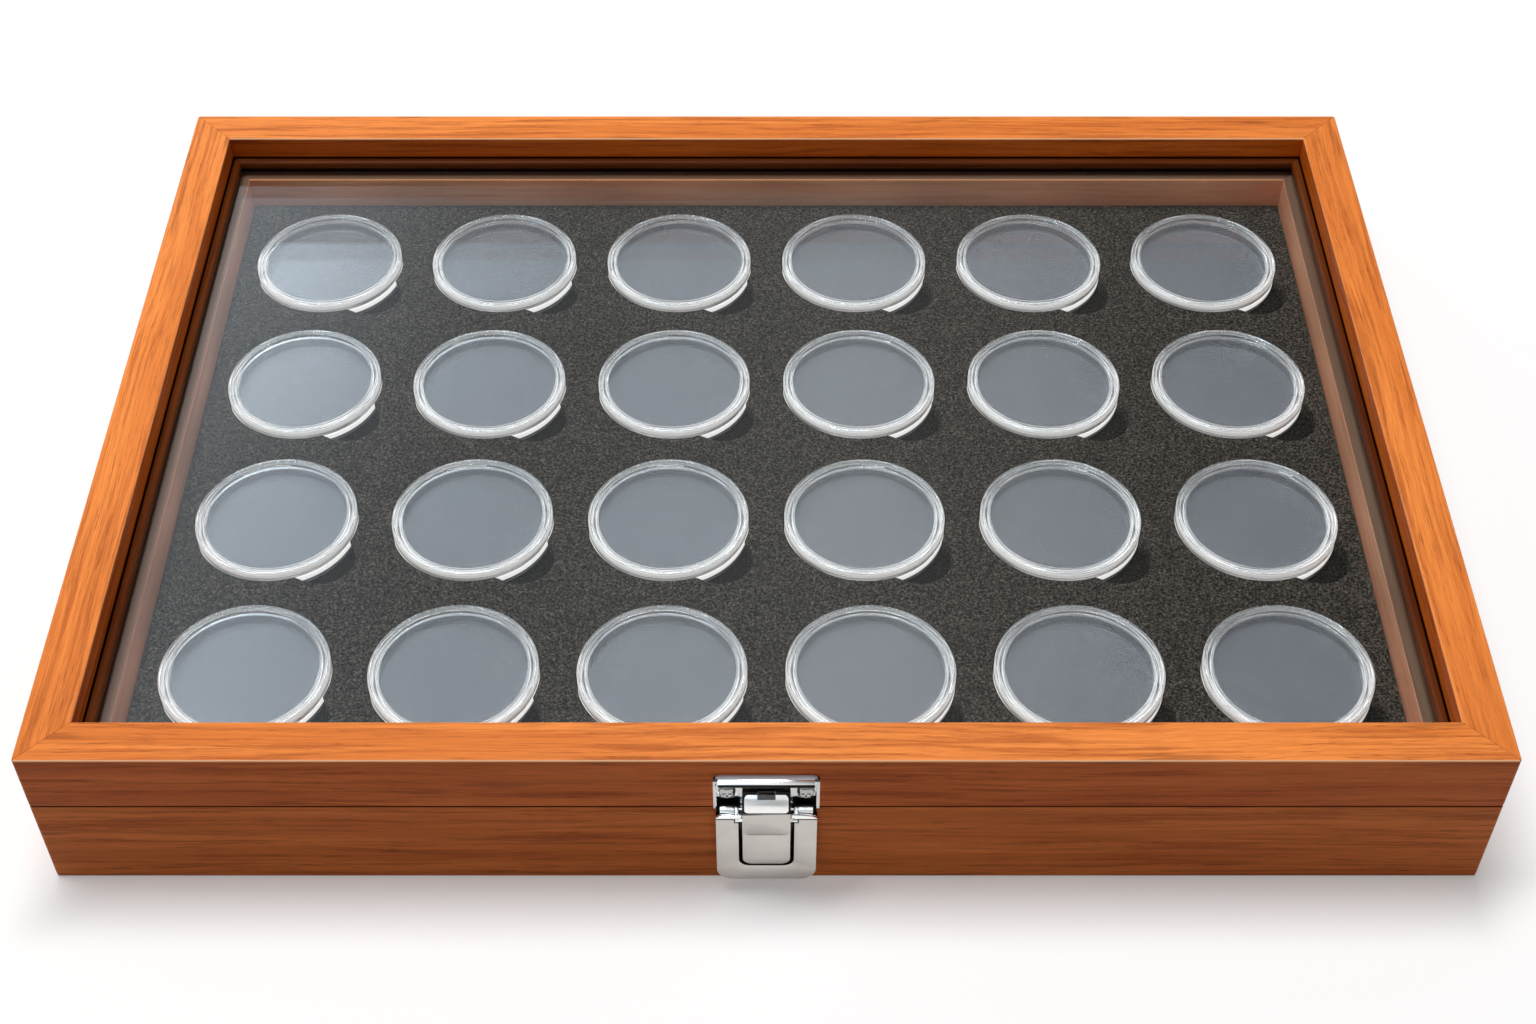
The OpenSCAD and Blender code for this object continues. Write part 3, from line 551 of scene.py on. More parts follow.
def shade_behind_latch(w):
    """1 on the strip of the front faces behind the latch's plates, which is painted black as shade, 0
    elsewhere.
    """
    x, y, z = w.axes()
    across = w.band(x.size(), keeper_high.x - 0.4 * MM, keeper_high.x - 0.8 * MM)
    in_front = w.band(y, 0.3 * MM - half_depth, 0.2 * MM - half_depth)
    below = w.band(z, keeper_high.z - 0.8 * MM, keeper_high.z - 1.2 * MM)
    return across * in_front * below * w.band(z, *LATCH_SHADE_FOOT)


def rail_tones(part, side):
    """The tones of one rail, as a function that changes its veneer's colour."""
    def dress(w, colour):
        deep, height = inset(w, side), w.axes()[2]
        skin = w.band(deep, 0.70 * MM, 0.50 * MM)
        below_top = w.band(height, lid_crown - 0.25 * MM, lid_crown - 0.45 * MM)
        if part == "lid":
            # Painted shade: the outer faces below the top, and the inner wall, are tinted a deeper brown.
            colour = w.tinted(skin * below_top, colour, LID_SIDE_SHADE)
            inner_wall = w.band(deep, lid_inner - 0.6 * MM, lid_inner - 0.4 * MM)
            colour = w.tinted(inner_wall * below_top, colour, INNER_WALL_SHADE)
            # Painted highlight: the top arrises are mixed towards a light colour, most on the outside at
            # the front and on the inside at the back.
            top = w.band(height, lid_crown - 0.60 * MM, lid_crown - 0.35 * MM)
            outer_highlight = w.band(deep, 0.45 * MM, 0.25 * MM) * OUTER_HIGHLIGHT.get(side, LITTLE_HIGHLIGHT)
            inner_arris = w.band(deep, lid_inner - 0.40 * MM, lid_inner - 0.20 * MM)
            inner_highlight = inner_arris * INNER_HIGHLIGHT.get(side, LITTLE_HIGHLIGHT)
            colour = w.mix(top * (outer_highlight + inner_highlight), colour, ARRIS_HIGHLIGHT)
            # Painted shade: a black line at the lid's foot in the parting gap, and in the quirk by the
            # bead.
            line = w.band(height, lid_foot + 0.26 * MM, lid_foot + 0.16 * MM)
            quirk = w.band(height, bead_crown + 0.45 * MM, bead_crown + 0.25 * MM)
            at_bead = w.band(deep, lid_inner - 0.5 * MM, lid_inner - 0.3 * MM) * quirk
            colour = w.mix(at_bead, colour, GAP_SHADE_BLACK)
        else:
            # Painted shade: the base's outer faces are tinted a deeper brown.
            colour = w.tinted(skin, colour, BASE_SIDE_SHADE)
            # Painted shade: a black line at the top of the base in the parting gap.
            line = w.band(height, base_crown - 0.12 * MM, base_crown - 0.04 * MM)
        colour = w.mix(line * skin, colour, GAP_SHADE_BLACK)
        # Painted shade: the front strip behind the latch's plates is black.
        return w.mix(shade_behind_latch(w), colour, (0, 0, 0)) if side == "front" else colour
    return dress


for index, side in enumerate(SIDES):
    for part, section in (("lid", lid_section), ("base", base_section)):
        shift = (0.37 * index + (0.11 if part == "lid" else 0.0), 0.041 * index, 0.023 * index)
        veneer = wood(f"veneer {part} {side}", side, shift, dress=rail_tones(part, side))
        bar(f"{part}_rail_{side}", side, section, veneer, part)
print("rails:", 2 * len(SIDES))

# %% [markdown]
# Two thin frames finish the inside. The liner stands up from the base past the parting line and centres the
# lid, and the bead lies on the edge of the glass. The bead is darker wood, the liner's top is painted dark
# as shade above a lighter face, and both are bars like the rails.

# %% Liner and bead
TRIM_MID = (0.090, 0.018, 0.002)
TRIM_LIGHT = (0.130, 0.032, 0.005)
TRIM_DEEP = (0.045, 0.009, 0.002)
LINER_MID = (0.98, 0.44, 0.26)
LINER_LIGHT = (1.0, 0.54, 0.34)
LINER_DEEP = (0.80, 0.32, 0.18)
LINER_TOP_SHADE = (0.22, 0.26, 0.28)
LINER_HIGHLIGHT = (1.0, 0.46, 0.20)
BEAD_ROUND = 1.0 * MM
BEAD_GAP = 0.50 * MM
near, far, z0, z1 = depth_range("liner_front")
liner_far, liner_crown = far, z1
liner_section = rounded([(near, z0, 0), (far, z0, 0), (far, z1, EASED), (near, z1, EASED)])
near, far, z0, z1 = depth_range("bead_front")
bead_near = near
bead_foot = z0 + BEAD_GAP
bead_section = rounded([
    (near, z0, 0), (far, z0, 0), (far, z1, BEAD_ROUND), (near + BEAD_GAP, z1, EASED / 2),
    (near + BEAD_GAP, bead_foot, 0), (near, bead_foot, 0)])


def liner_tones(side):
    """The liner's top is painted darker than its face as shade, and its arris gets a painted highlight line
    at the back.
    """
    def dress(w, colour):
        deep, height = inset(w, side), w.axes()[2]
        # Painted shade on the liner's top, and a painted highlight line along its inner arris.
        on_top = w.band(height, liner_crown - 0.12 * MM, liner_crown - 0.04 * MM)
        colour = w.tinted(on_top, colour, LINER_TOP_SHADE)
        line = w.band(deep, liner_far - 0.50 * MM, liner_far - 0.35 * MM) * w.band(
            height, liner_crown - 0.55 * MM, liner_crown - 0.40 * MM)
        return w.mix(line * INNER_HIGHLIGHT.get(side, 0.0), colour, LINER_HIGHLIGHT)
    return dress


def bead_tones(side):
    """The narrow quirk between the lid and the bead is painted black as shade."""
    def dress(w, colour):
        quirk = w.band(inset(w, side), bead_near + 0.58 * MM, bead_near + 0.52 * MM)
        return w.mix(quirk, colour, GAP_SHADE_BLACK)
    return dress


for index, side in enumerate(SIDES):
    shift = (0.29 * index, 0.03 * index, 0.05)
    liner_wood = wood(f"liner wood {side}", side, shift, LINER_MID, LINER_LIGHT, LINER_DEEP, LINER_DEEP,
                      rough=0.5, shine=0.1, figure=0.7, dress=liner_tones(side))
    bead_wood = wood(f"bead wood {side}", side, shift, TRIM_MID, TRIM_LIGHT, TRIM_DEEP, TRIM_DEEP,
                     rough=0.34, shine=0.05, figure=0.7, dress=bead_tones(side))
    bar(f"liner_{side}", side, liner_section, liner_wood, "base", corner=0.0)
    bar(f"bead_{side}", side, bead_section, bead_wood, "lid", corner=0.0)
print("trim:", 2 * len(SIDES))

# %% [markdown]
# The bottom is a plain stained panel let into the rabbet. Nobody sees it in use, but it shows when the case
# is turned over, so it gets its own plainer wood.

# %% Bottom panel
PANEL_MID = (0.42, 0.22, 0.11)
PANEL_LIGHT = (0.52, 0.30, 0.16)
PANEL_DEEP = (0.28, 0.13, 0.06)
panel_wood = wood("panel wood", "front", (0.9, 0.4, 0.1), PANEL_MID, PANEL_LIGHT, PANEL_DEEP, PANEL_DEEP,
                  rough=0.6, shine=0.1, figure=0.8)
refinish("bottom_panel", panel_wood)
print("panel ready")

# %% [markdown]
# The foam is dark grey and closed-celled. Cut across, its cells show as a fine grain of light and dark
# specks, and the blade presses the upper edge of every pocket slightly round. A flat plate with holes would
# show none of it. A pocket and its finger notch are two circles that overlap, so seen from the pocket's
# middle the outline is a distance for every direction: the pocket's radius, or the far side of the notch
# where that is further out. Rings of points run from that outline to the edges of the pocket's own cell,
# and the cells join to one sheet.

# %% Foam finish
FOAM_MID = (0.058, 0.050, 0.042)
FOAM_LIGHT = (0.200, 0.174, 0.150)
FOAM_DARK = (0.008, 0.007, 0.006)
SPECKS_PER_METRE, FINE_PER_METRE, CLOUDS_PER_METRE = 1450.0, 2600.0, 120.0


def foam_finish(name, share=1.0):
    """Closed-cell foam: a grain of specks, a finer grain under it, and wide faint clouds. share scales its
    lightness, for a copy darkened as painted shade."""
    f = Finish(name)
    spot = f.where()
    specks = f.noise(spot, SPECKS_PER_METRE, 2.0, 0.7)
    fine = f.noise(f.where((0.3, 0.2, 0.1)), FINE_PER_METRE, 1.0)
    clouds = f.noise(spot, CLOUDS_PER_METRE, 2.0)
    dark, mid, light = (tuple(share * c for c in colour) for colour in (FOAM_DARK, FOAM_MID, FOAM_LIGHT))
    colour = f.mix(f.band(specks, 0.38, 0.52), dark, mid)
    colour = f.mix(f.band(specks, 0.54, 0.68) * 0.8, colour, light)
    colour = f.mix(f.band(fine, 0.60, 0.74) * 0.45, colour, light)
    colour = f.mix(f.band(clouds, 0.35, 0.65) * 0.12, colour, dark)
    return f.done(f.principled(
        Base_Color=colour, Roughness=0.95, Specular_IOR_Level=0.12,
        Normal=f.bump(specks * 0.8 + fine * 0.4, 0.6, 0.15 * MM)))


foam_material = foam_finish("charcoal foam")
print("foam finish ready")

# %% Foam sheet with its pockets
ROWS, COLUMNS = 4, 6
POCKET_R = 23.3 * MM
NOTCH_R = 9.4 * MM
NOTCH_OUT = 21.2 * MM
NOTCH_TURN = -math.pi / 4
NOTCH_SPREAD = 1.2
LIP = 0.7 * MM
BULGE = 0.12 * MM
CELL_SEAM = 0.02 * MM
QUARTER_POINTS = 37
ROUND_RINGS = 5
foam_low, foam_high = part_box("foam_insert")


def capsule_middle(row, column):
    """The middle of a capsule's underside, read from its measured node."""
    low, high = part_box(f"capsule_{row}_{column}")
    return Vector(((low.x + high.x) / 2, (low.y + high.y) / 2, low.z))


pitch_x = capsule_middle(1, 2).x - capsule_middle(1, 1).x
pitch_y = capsule_middle(1, 1).y - capsule_middle(2, 1).y


def outline_reach(angle):
    """The distance to the pocket's edge in each direction: the larger of the pocket's radius and the far
    side of the notch's circle, d cos a + sqrt(r^2 - d^2 sin^2 a), where a is the angle from the notch."""
    off = np.angle(np.exp(1j * (angle - NOTCH_TURN)))
    inside = NOTCH_R ** 2 - (NOTCH_OUT * np.sin(off)) ** 2
    far_edge = NOTCH_OUT * np.cos(off) + np.sqrt(np.maximum(inside, 0))
    notch = np.where((inside > 0) & (np.abs(off) < NOTCH_SPREAD), far_edge, 0)
    return np.maximum(POCKET_R, notch)


def cell_reach(angle, left, right, front, back):
    """The distance from the pocket's middle to the edge of its cell in each direction: the nearer of the
    side edge, its distance over |cos a|, and the front or back edge, its distance over |sin a|."""
    c, s = np.cos(angle), np.sin(angle)
    with np.errstate(divide="ignore"):
        sideways = np.where(c > 0, right, left) / np.abs(c)
        lengthways = np.where(s > 0, back, front) / np.abs(s)
    return np.minimum(sideways, lengthways)


def cell_angles():
    """Even directions, the same in each quarter turn, and those of the cell's corners."""
    corner = math.atan2(pitch_y, pitch_x)
    even = np.linspace(0, math.pi / 2, QUARTER_POINTS)
    quarter = np.unique(np.round(np.concatenate([even, [corner]]), 9))
    first = np.concatenate([quarter, math.pi - quarter])
    return np.unique(np.round(np.concatenate([first, -first]), 9))[1:]


def cell_points(row, column):
    """Rings of one cell: across the top from its edge, over the pressed lip, a quarter of a circle, down
    the cut, whose middle swells by BULGE sin(pi share), and back below."""
    middle = capsule_middle(row, column)
    angle = cell_angles()
    left = middle.x - foam_low.x if column == 1 else pitch_x / 2
    right = foam_high.x - middle.x if column == COLUMNS else pitch_x / 2
    front = middle.y - foam_low.y if row == ROWS else pitch_y / 2
    back = foam_high.y - middle.y if row == 1 else pitch_y / 2
    edge = cell_reach(angle, left, right, front, back)
    cut = outline_reach(angle)
    height = foam_high.z - foam_low.z
    rings = []
    for share in (0.0, 0.5, 0.85):
        rings.append((edge + (cut + LIP - edge) * share, np.full_like(edge, foam_high.z)))
    for turn in np.linspace(0, math.pi / 2, ROUND_RINGS):
        level = foam_high.z - LIP * (1 - math.cos(turn))
        rings.append((cut + LIP * (1 - math.sin(turn)), np.full_like(edge, level)))
    for share in (0.4, 0.7, 1.0):
        swell = BULGE * math.sin(math.pi * share)
        rings.append((cut + swell, np.full_like(edge, foam_high.z - LIP - (height - LIP) * share)))
    rings.append((edge, np.full_like(edge, foam_low.z)))
    return np.stack([np.stack([middle.x + r * np.cos(angle), middle.y + r * np.sin(angle), z], axis=-1)
                     for r, z in rings])


foam_points, foam_faces, start = [], [], 0
for row in range(1, ROWS + 1):
    for column in range(1, COLUMNS + 1):
        cell = cell_points(row, column)
        foam_points.append(cell.reshape(-1, 3))
        foam_faces += grid_faces(*cell.shape[:2], start)
        start += cell.shape[0] * cell.shape[1]
foam_points = np.concatenate(foam_points)
foam_sheet = add_piece("foam_sheet", foam_points, foam_faces, foam_material, "base",
                       stands_for=("foam_insert",), merge=CELL_SEAM)


def close_sides(piece):
    """Joins the open loop round the top to the one round the bottom, and turns all faces outwards."""
    work = bmesh.new()
    work.from_mesh(piece.data)
    open_edges = [e for e in work.edges if e.is_boundary]
    bmesh.ops.bridge_loops(work, edges=open_edges)
    left_open = sum(e.is_boundary for e in work.edges)
    bmesh.ops.recalc_face_normals(work, faces=work.faces)
    work.to_mesh(piece.data)
    work.free()
    piece.data.set_sharp_from_angle(angle=SHARP)
    return left_open


print("foam sheet: points", len(foam_sheet.data.vertices), "open edges left", close_sides(foam_sheet))

# %% [markdown]
# Under the cut sheet lies a plain one, which shows as the floor of every finger notch. Its colour is a
# darker copy of the foam, as painted shade in the notches. It is a slab whose edges the knife has left
# slightly round: a closed outline carried upwards, drawn in at the top and at the bottom.

# %% Plain foam below
UNDER_CORNER = 2 * MM
UNDER_EDGE = 0.6 * MM
NOTCH_PAINTED_SHADE = 0.3


def slab(name, low, high, corner, edge, material, body, slot, stands_for):
    """A block with rounded corners and edges. The outline has four arcs, and each ring of it is drawn in by
    edge times 1 - sin of its turn, at a height of edge times 1 - cos."""
    outline = rounded([(low.x, low.y, corner), (high.x, low.y, corner), (high.x, high.y, corner),
                       (low.x, high.y, corner)], steps=5)
    middle = np.array([(low.x + high.x) / 2, (low.y + high.y) / 2])
    half = np.array([(high.x - low.x) / 2, (high.y - low.y) / 2])
    turns = np.linspace(0, math.pi / 2, ROUND_RINGS)
    rings = [(edge * (1 - math.sin(t)), low.z + edge * (1 - math.cos(t))) for t in turns]
    rings += [(drawn, high.z + low.z - z) for drawn, z in rings[::-1]]
    points = []
    for drawn, z in rings:
        ring = middle + (outline - middle) * (1 - drawn / half)
        points.append(np.column_stack([ring, np.full(len(ring), z)]))
    faces = closed_faces(len(rings), len(outline))
    return add_piece(name, points, faces, material, body, stands_for=stands_for)


# Painted shade: the plain sheet is a darker copy of the foam, so the notches' floors look shaded.
foam_under = slab("foam_under", *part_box("foam_base"), UNDER_CORNER, UNDER_EDGE,
                  foam_finish("dark foam", NOTCH_PAINTED_SHADE), "base", "foam", ("foam_base",))
print("foam slab:", len(foam_under.data.vertices), "points")

# %% [markdown]
# The pane is clear float glass. It shows through almost unchanged, and it mirrors a little of the bright
# studio, more where one looks along it. That share drives the mix of a see-through shader with a mirror. A
# refracting glass shader would do the same but would keep the lamp's light out of the case.

# %% Glass
glass = Finish("clear pane")
GLASS_TINT = (0.955, 0.965, 0.962, 1)
MIRROR_TINT = (0.60, 0.60, 0.60, 1)
pane_clear = glass.node("ShaderNodeBsdfTransparent", {}, {"Color": GLASS_TINT})
pane_mirror = glass.node("ShaderNodeBsdfGlossy", {}, {"Color": MIRROR_TINT, "Roughness": 0.0})
pane_shader = glass.node("ShaderNodeMixShader", {}, {
    0: glass.mirror_share(), 1: pane_clear, 2: pane_mirror})
refinish("lid_glass", glass.done(pane_shader))
print("glass ready")

# %% [markdown]
# A capsule is two clear plastic shells that snap together. Each has a thin window, a thick rim and a
# stepped edge, and the plastic bends and mirrors the white studio at every step. The section is drawn with
# all its steps and turned about the capsule's axis. Three attributes, the distance from that axis, the
# height above the foot and the place between front and back, then say where a milky white is mixed in: a
# faint haze on the window, and painted highlights in fine bright rings on the rim, stronger at the front
# than at the back, and in bands on the outer wall, which also has a painted glow.

# %% Clear plastic
CAPSULE_R = 23.0 * MM
CAPSULE_H = 6.6 * MM
COIN_R = 20.5 * MM
COIN_H = 3.2 * MM
RING_STEP = 1.05 * MM
RING_FIRST = 0.15 * MM
MILK_WINDOW = 0.040
MILK_RIM = 0.03
RING_HIGHLIGHT_SHARE = 0.80
RIM_GLOW = 0.46
NOTCH_GLOW = 0.85
NEAR_HIGHLIGHT_SHARE = 0.20
WALL_HIGHLIGHT_SHARE = 0.92
WINDOW_TINT = (0.84, 0.88, 0.98)
RIM_TINT = (1.0, 0.97, 0.96)
PLASTIC_TINT = (0.98, 0.98, 0.99, 1)
SHADOW_TINT = (0.90, 0.92, 0.94, 1)
PLASTIC_IOR = 1.49
NOTCH_FOOT, NOTCH_TOP, NOTCH_FADE = 1.5 * MM, 3.7 * MM, 0.2 * MM
FOAM_LEVEL = foam_high.z - foam_low.z
clear = Finish("clear plastic")
reach = clear.node("ShaderNodeAttribute", {"attribute_name": "from_axis"}, {}, output="Fac")
above = clear.node("ShaderNodeAttribute", {"attribute_name": "above_foot"}, {}, output="Fac")
to_back = clear.node("ShaderNodeAttribute", {"attribute_name": "to_back"}, {}, output="Fac")
around = clear.noise(clear.where((0.1, 0.1, 0.1)), 55.0, 1.0)
grain = clear.band(clear.noise(clear.where((0.2, 0.1, 0.3)), 1300.0, 2.0, 0.7), 0.38, 0.62, 0.6, 1.4)
# Painted highlight: fine white rings on the rim, mixed in as milky plastic.
ring_wave = ((reach - (CAPSULE_R - RING_FIRST)) * (2 * math.pi / RING_STEP)).cosine()
rings = clear.band(ring_wave - clear.band(to_back, -0.3, 0.8) * 0.35, 0.35, 0.75)
rim = clear.band(reach, COIN_R + 0.05 * MM, COIN_R + 0.30 * MM)
wall = clear.band(reach, CAPSULE_R - 0.12 * MM, CAPSULE_R - 0.04 * MM) * clear.band(to_back, 0.35, -0.15)
lower_band = clear.band(above, NOTCH_FOOT, NOTCH_FOOT + NOTCH_FADE) * clear.band(
    above, NOTCH_TOP, NOTCH_TOP - NOTCH_FADE)
upper_band = clear.band(above, FOAM_LEVEL + 0.25 * MM, FOAM_LEVEL + 0.45 * MM) * clear.band(
    above, CAPSULE_H - 0.10 * MM, CAPSULE_H - 0.25 * MM)
# Painted highlight: white bands on the front of the outer wall, above the foam and down in the finger
# notch.
wall_highlight = wall * (upper_band + lower_band)
# The painted highlights on the rim are strongest at the front and fade towards the back.
far_side = clear.band(to_back, 0.0, 0.8, 1.0, 0.30)
near_side = clear.band(to_back, -0.30, -0.60) * clear.band(to_back, -0.97, -0.80, 0.2, 1.0)
ring_highlight = rings * clear.band(around, 0.30, 0.62, 0.5, 1.0) * RING_HIGHLIGHT_SHARE
rim_haze_and_highlight = rim * far_side * (MILK_RIM + near_side * NEAR_HIGHLIGHT_SHARE + ring_highlight)
haze_and_highlights = (MILK_WINDOW * grain + rim_haze_and_highlight + wall_highlight * WALL_HIGHLIGHT_SHARE).clip()
# Painted glow: the wall's bands emit light, though the plastic is no lamp.
wall_painted_glow = clear.mix(wall * upper_band, (0, 0, 0), (RIM_GLOW, RIM_GLOW * 0.98, RIM_GLOW * 0.98))
wall_painted_glow = clear.mix(wall * lower_band, wall_painted_glow, (NOTCH_GLOW, NOTCH_GLOW * 0.98, NOTCH_GLOW * 0.96))
clear_body = clear.principled(
    Base_Color=PLASTIC_TINT, Roughness=0.0, IOR=PLASTIC_IOR, Transmission_Weight=1.0)
haze_highlight_and_glow_body = clear.principled(
    Base_Color=clear.mix(rim, WINDOW_TINT, RIM_TINT), Roughness=0.30, Specular_IOR_Level=0.6,
    Emission_Color=wall_painted_glow, Emission_Strength=1.0)
plastic_body = clear.node("ShaderNodeMixShader", {}, {0: haze_and_highlights, 1: clear_body, 2: haze_highlight_and_glow_body})
shadow_path = clear.tree.nodes.new("ShaderNodeLightPath")
shadow_ray = Wire(clear, shadow_path.outputs["Is Shadow Ray"])
clear_through = clear.node("ShaderNodeBsdfTransparent", {}, {"Color": SHADOW_TINT})
clear_shader = clear.node("ShaderNodeMixShader", {}, {0: shadow_ray, 1: plastic_body, 2: clear_through})
clear_material = clear.done(clear_shader)
print("clear plastic ready")

# %% Capsules
RECESS = 0.6 * MM
SLOPE = 0.4 * MM
RIM_EDGE = 0.45 * MM
SOFT = 0.1 * MM
SPIGOT = 1.3 * MM
SPIGOT_H = 1.05 * MM
SEAM = 0.05 * MM
RING_GROOVE = 0.22 * MM
SEGMENTS = 120


def shell_section(upper):
    """One half's outline as (radius, height) corners with small rounds, from the window's middle outwards.
    Heights are measured from the outer face, so the same window and rim serve both halves."""
    inside = (CAPSULE_H - COIN_H) / 2
    joint = CAPSULE_H / 2 - SEAM
    ring = (COIN_R + CAPSULE_R) / 2 + 0.3 * MM
    rim = [(COIN_R - SLOPE, RECESS, SOFT), (COIN_R, 0, SOFT), (ring - RING_GROOVE, 0, SOFT / 2),
           (ring, RING_GROOVE * 0.8, SOFT / 2), (ring + RING_GROOVE, 0, SOFT / 2),
           (CAPSULE_R - RIM_EDGE, 0, SOFT), (CAPSULE_R, RIM_EDGE, SOFT)]
    step = COIN_R + SPIGOT + (SEAM if upper else 0)
    tip = joint + (-SPIGOT_H if upper else SPIGOT_H)
    joint_round, tip_round = (SOFT, 0) if upper else (0, SOFT)
    inner = [(CAPSULE_R, joint, SOFT), (step, joint, joint_round),
             (step, tip, tip_round), (COIN_R, tip, tip_round), (COIN_R, inside, SOFT)]
    return rim + inner, inside


def shell_points(middle, upper):
    """The outline turned about the axis: x = r cos a, y = r sin a. The upper half is turned over."""
    corners, inside = shell_section(upper)
    closed = rounded([(0, RECESS, 0), *corners, (0, inside, 0)], steps=2, lead=0.05 * MM)
    profile = closed[(closed[:, 0] > SOFT)]
    angle = np.arange(SEGMENTS) * 2 * math.pi / SEGMENTS
    r, z = profile[:, 0][:, None], profile[:, 1][:, None]
    z = CAPSULE_H - z if upper else z
    rings = np.stack([middle.x + r * np.cos(angle), middle.y + r * np.sin(angle),
                      np.broadcast_to(middle.z + z, (len(profile), SEGMENTS))], axis=-1)
    return rings


def capsule_piece(row, column):
    """Both halves as one piece, each a closed shell: rings of the section, and a face on each side of its
    window."""
    node = f"capsule_{row}_{column}"
    points, faces, start = [], [], 0
    for upper in (False, True):
        rings = shell_points(capsule_middle(row, column), upper)
        count = rings.shape[0]
        faces += closed_faces(count, SEGMENTS, start)
        points.append(rings.reshape(-1, 3))
        start += count * SEGMENTS
    points = np.concatenate(points)
    piece = add_piece(node + "_clear", points, faces, clear_material, node, stands_for=(node,))
    middle = capsule_middle(row, column)
    for attribute, values in (
            ("from_axis", np.hypot(points[:, 0] - middle.x, points[:, 1] - middle.y)),
            ("above_foot", points[:, 2] - middle.z),
            ("to_back", (points[:, 1] - middle.y) / CAPSULE_R)):
        piece.data.attributes.new(attribute, "FLOAT", "POINT").data.foreach_set("value", values)
    return piece


for row in range(1, ROWS + 1):
    for column in range(1, COLUMNS + 1):
        last_capsule = capsule_piece(row, column)
print("capsules:", ROWS * COLUMNS, "with", len(last_capsule.data.polygons), "faces each")

# %% [markdown]
# The latch and the hinges are stamped from thin sheet and plated. Stamping leaves soft edges, and on plated
# metal the edges are what one sees: each catches the studio as a bright line. The measured shapes are
# right, so they stay, and two modifiers finish them: Weld joins their loose triangles, and Bevel rounds
# every real edge.

# %% Plated metal
SMUDGES_PER_METRE = 160.0
SMUDGE_TINT = 0.93
BRIGHT_GREY = (0.86, 0.85, 0.84)
SCREW_GREY = (0.46, 0.45, 0.44)
HINGE_GREY = (0.60, 0.57, 0.52)


def plated(name, colour, rough, brushed=0.0):
    """Metal with fine handling marks; brushed adds faint level lines."""
    m = Finish(name)
    here = m.where()
    smudge = m.noise(here, SMUDGES_PER_METRE, 3.0, 0.6)
    fine = m.noise(m.stretch(here, (300, 300, 9000)), 1.0, 2.0, 0.6)
    deep = tuple(SMUDGE_TINT * c for c in colour)
    tone = m.mix(m.band(smudge, 0.35, 0.7), colour, deep)
    roughness = m.band(smudge, 0.3, 0.7, rough, rough * 1.35)
    return m.done(m.principled(
        Base_Color=tone, Metallic=1.0, Roughness=roughness,
        Normal=m.bump(fine * brushed + smudge * 0.3, 0.12, 0.02 * MM)))


bright_nickel = plated("bright nickel", BRIGHT_GREY, 0.07)
screw_nickel = plated("screw nickel", SCREW_GREY, 0.16)
hinge_nickel = plated("hinge nickel", HINGE_GREY, 0.28, 0.6)
print("plating ready")

# %% [markdown]
# The plates of the latch carry more than one finish, and some of their light and shade is painted. The
# keeper's front is darker than its bevelled top edge, which is painted white as a highlight, and below that
# edge, where the sheet turns away, a black line is painted as shade. The claw has a cap painted white as a
# highlight, in a painted dark outline, and a satin flap, with a dark crease of painted shade between them.
# The lever's satin pad ends in a polished roll round its pin that is also painted light as a highlight. The
# mount behind the lever is painted black as shade round a satin pad. So each finish is mixed over the
# plate's own height and over how far it stands out.

# %% Finishes of the latch's plates
KEEPER_FACE = (0.60, 0.59, 0.58)
KEEPER_LEDGE = (0.54, 0.59, 0.66)
POLISH_AND_HIGHLIGHT = (0.97, 0.97, 0.96)
METAL_SHADE_BLACK = (0.015, 0.014, 0.013)
SATIN = (0.56, 0.53, 0.50)
SLOT_SHADE_GREY = (0.10, 0.092, 0.09)
EDGE_SHADE_GREY = (0.16, 0.15, 0.14)
FLAP_HEIGHT = 8.8 * MM
CAP_OUTLINE = 0.55 * MM
CAP_CORNER = 1.0 * MM
ROLL_WALL = 1.0 * MM
claw_low, claw_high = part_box("latch_claw")
crease_z = claw_low.z + FLAP_HEIGHT
roll_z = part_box("latch_lever_pin")[0].z - ROLL_WALL
mount_out = -half_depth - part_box("latch_mount")[0].y


def mixed_metal(name, tones):
    """Metal whose finish follows the place on the piece. tones is a function of the tree, the height, the
    distance out from the front face and the distance from the middle, and returns colour, roughness and how
    metallic the surface is."""
    m = Finish(name)
    x, y, z = m.axes()
    smudge = m.noise(m.where(), SMUDGES_PER_METRE, 3.0, 0.6)
    colour, roughness, metallic = tones(m, z, (y + half_depth) * -1.0, x.size())
    colour = m.tinted(m.band(smudge, 0.35, 0.7), colour, (SMUDGE_TINT,) * 3)
    return m.done(m.principled(Base_Color=colour, Metallic=metallic, Roughness=roughness,
                               Normal=m.bump(smudge, 0.08, 0.02 * MM)))


def keeper_tones(m, height, out, across):
    """From the back of the top edge forwards a dull grey ledge, a bevel painted white as a highlight and a
    black line of painted shade.
    """
    on_top = m.band(height, keeper_high.z - 1.7 * MM, keeper_high.z - 1.5 * MM)
    ledge = m.band(out, 1.55 * MM, 1.45 * MM) * on_top
    # Painted highlight: the bevelled top edge is white, and the face below it keeps a darker grey.
    colour = m.mix(ledge, POLISH_AND_HIGHLIGHT, KEEPER_LEDGE)
    front_line = m.band(height, keeper_high.z - 0.42 * MM, keeper_high.z - 0.48 * MM)
    # Painted shade: a black line below the bevel, where the sheet turns away.
    colour = m.mix(front_line, colour, METAL_SHADE_BLACK)
    return m.mix(on_top, KEEPER_FACE, colour), 0.12, 1 - ledge


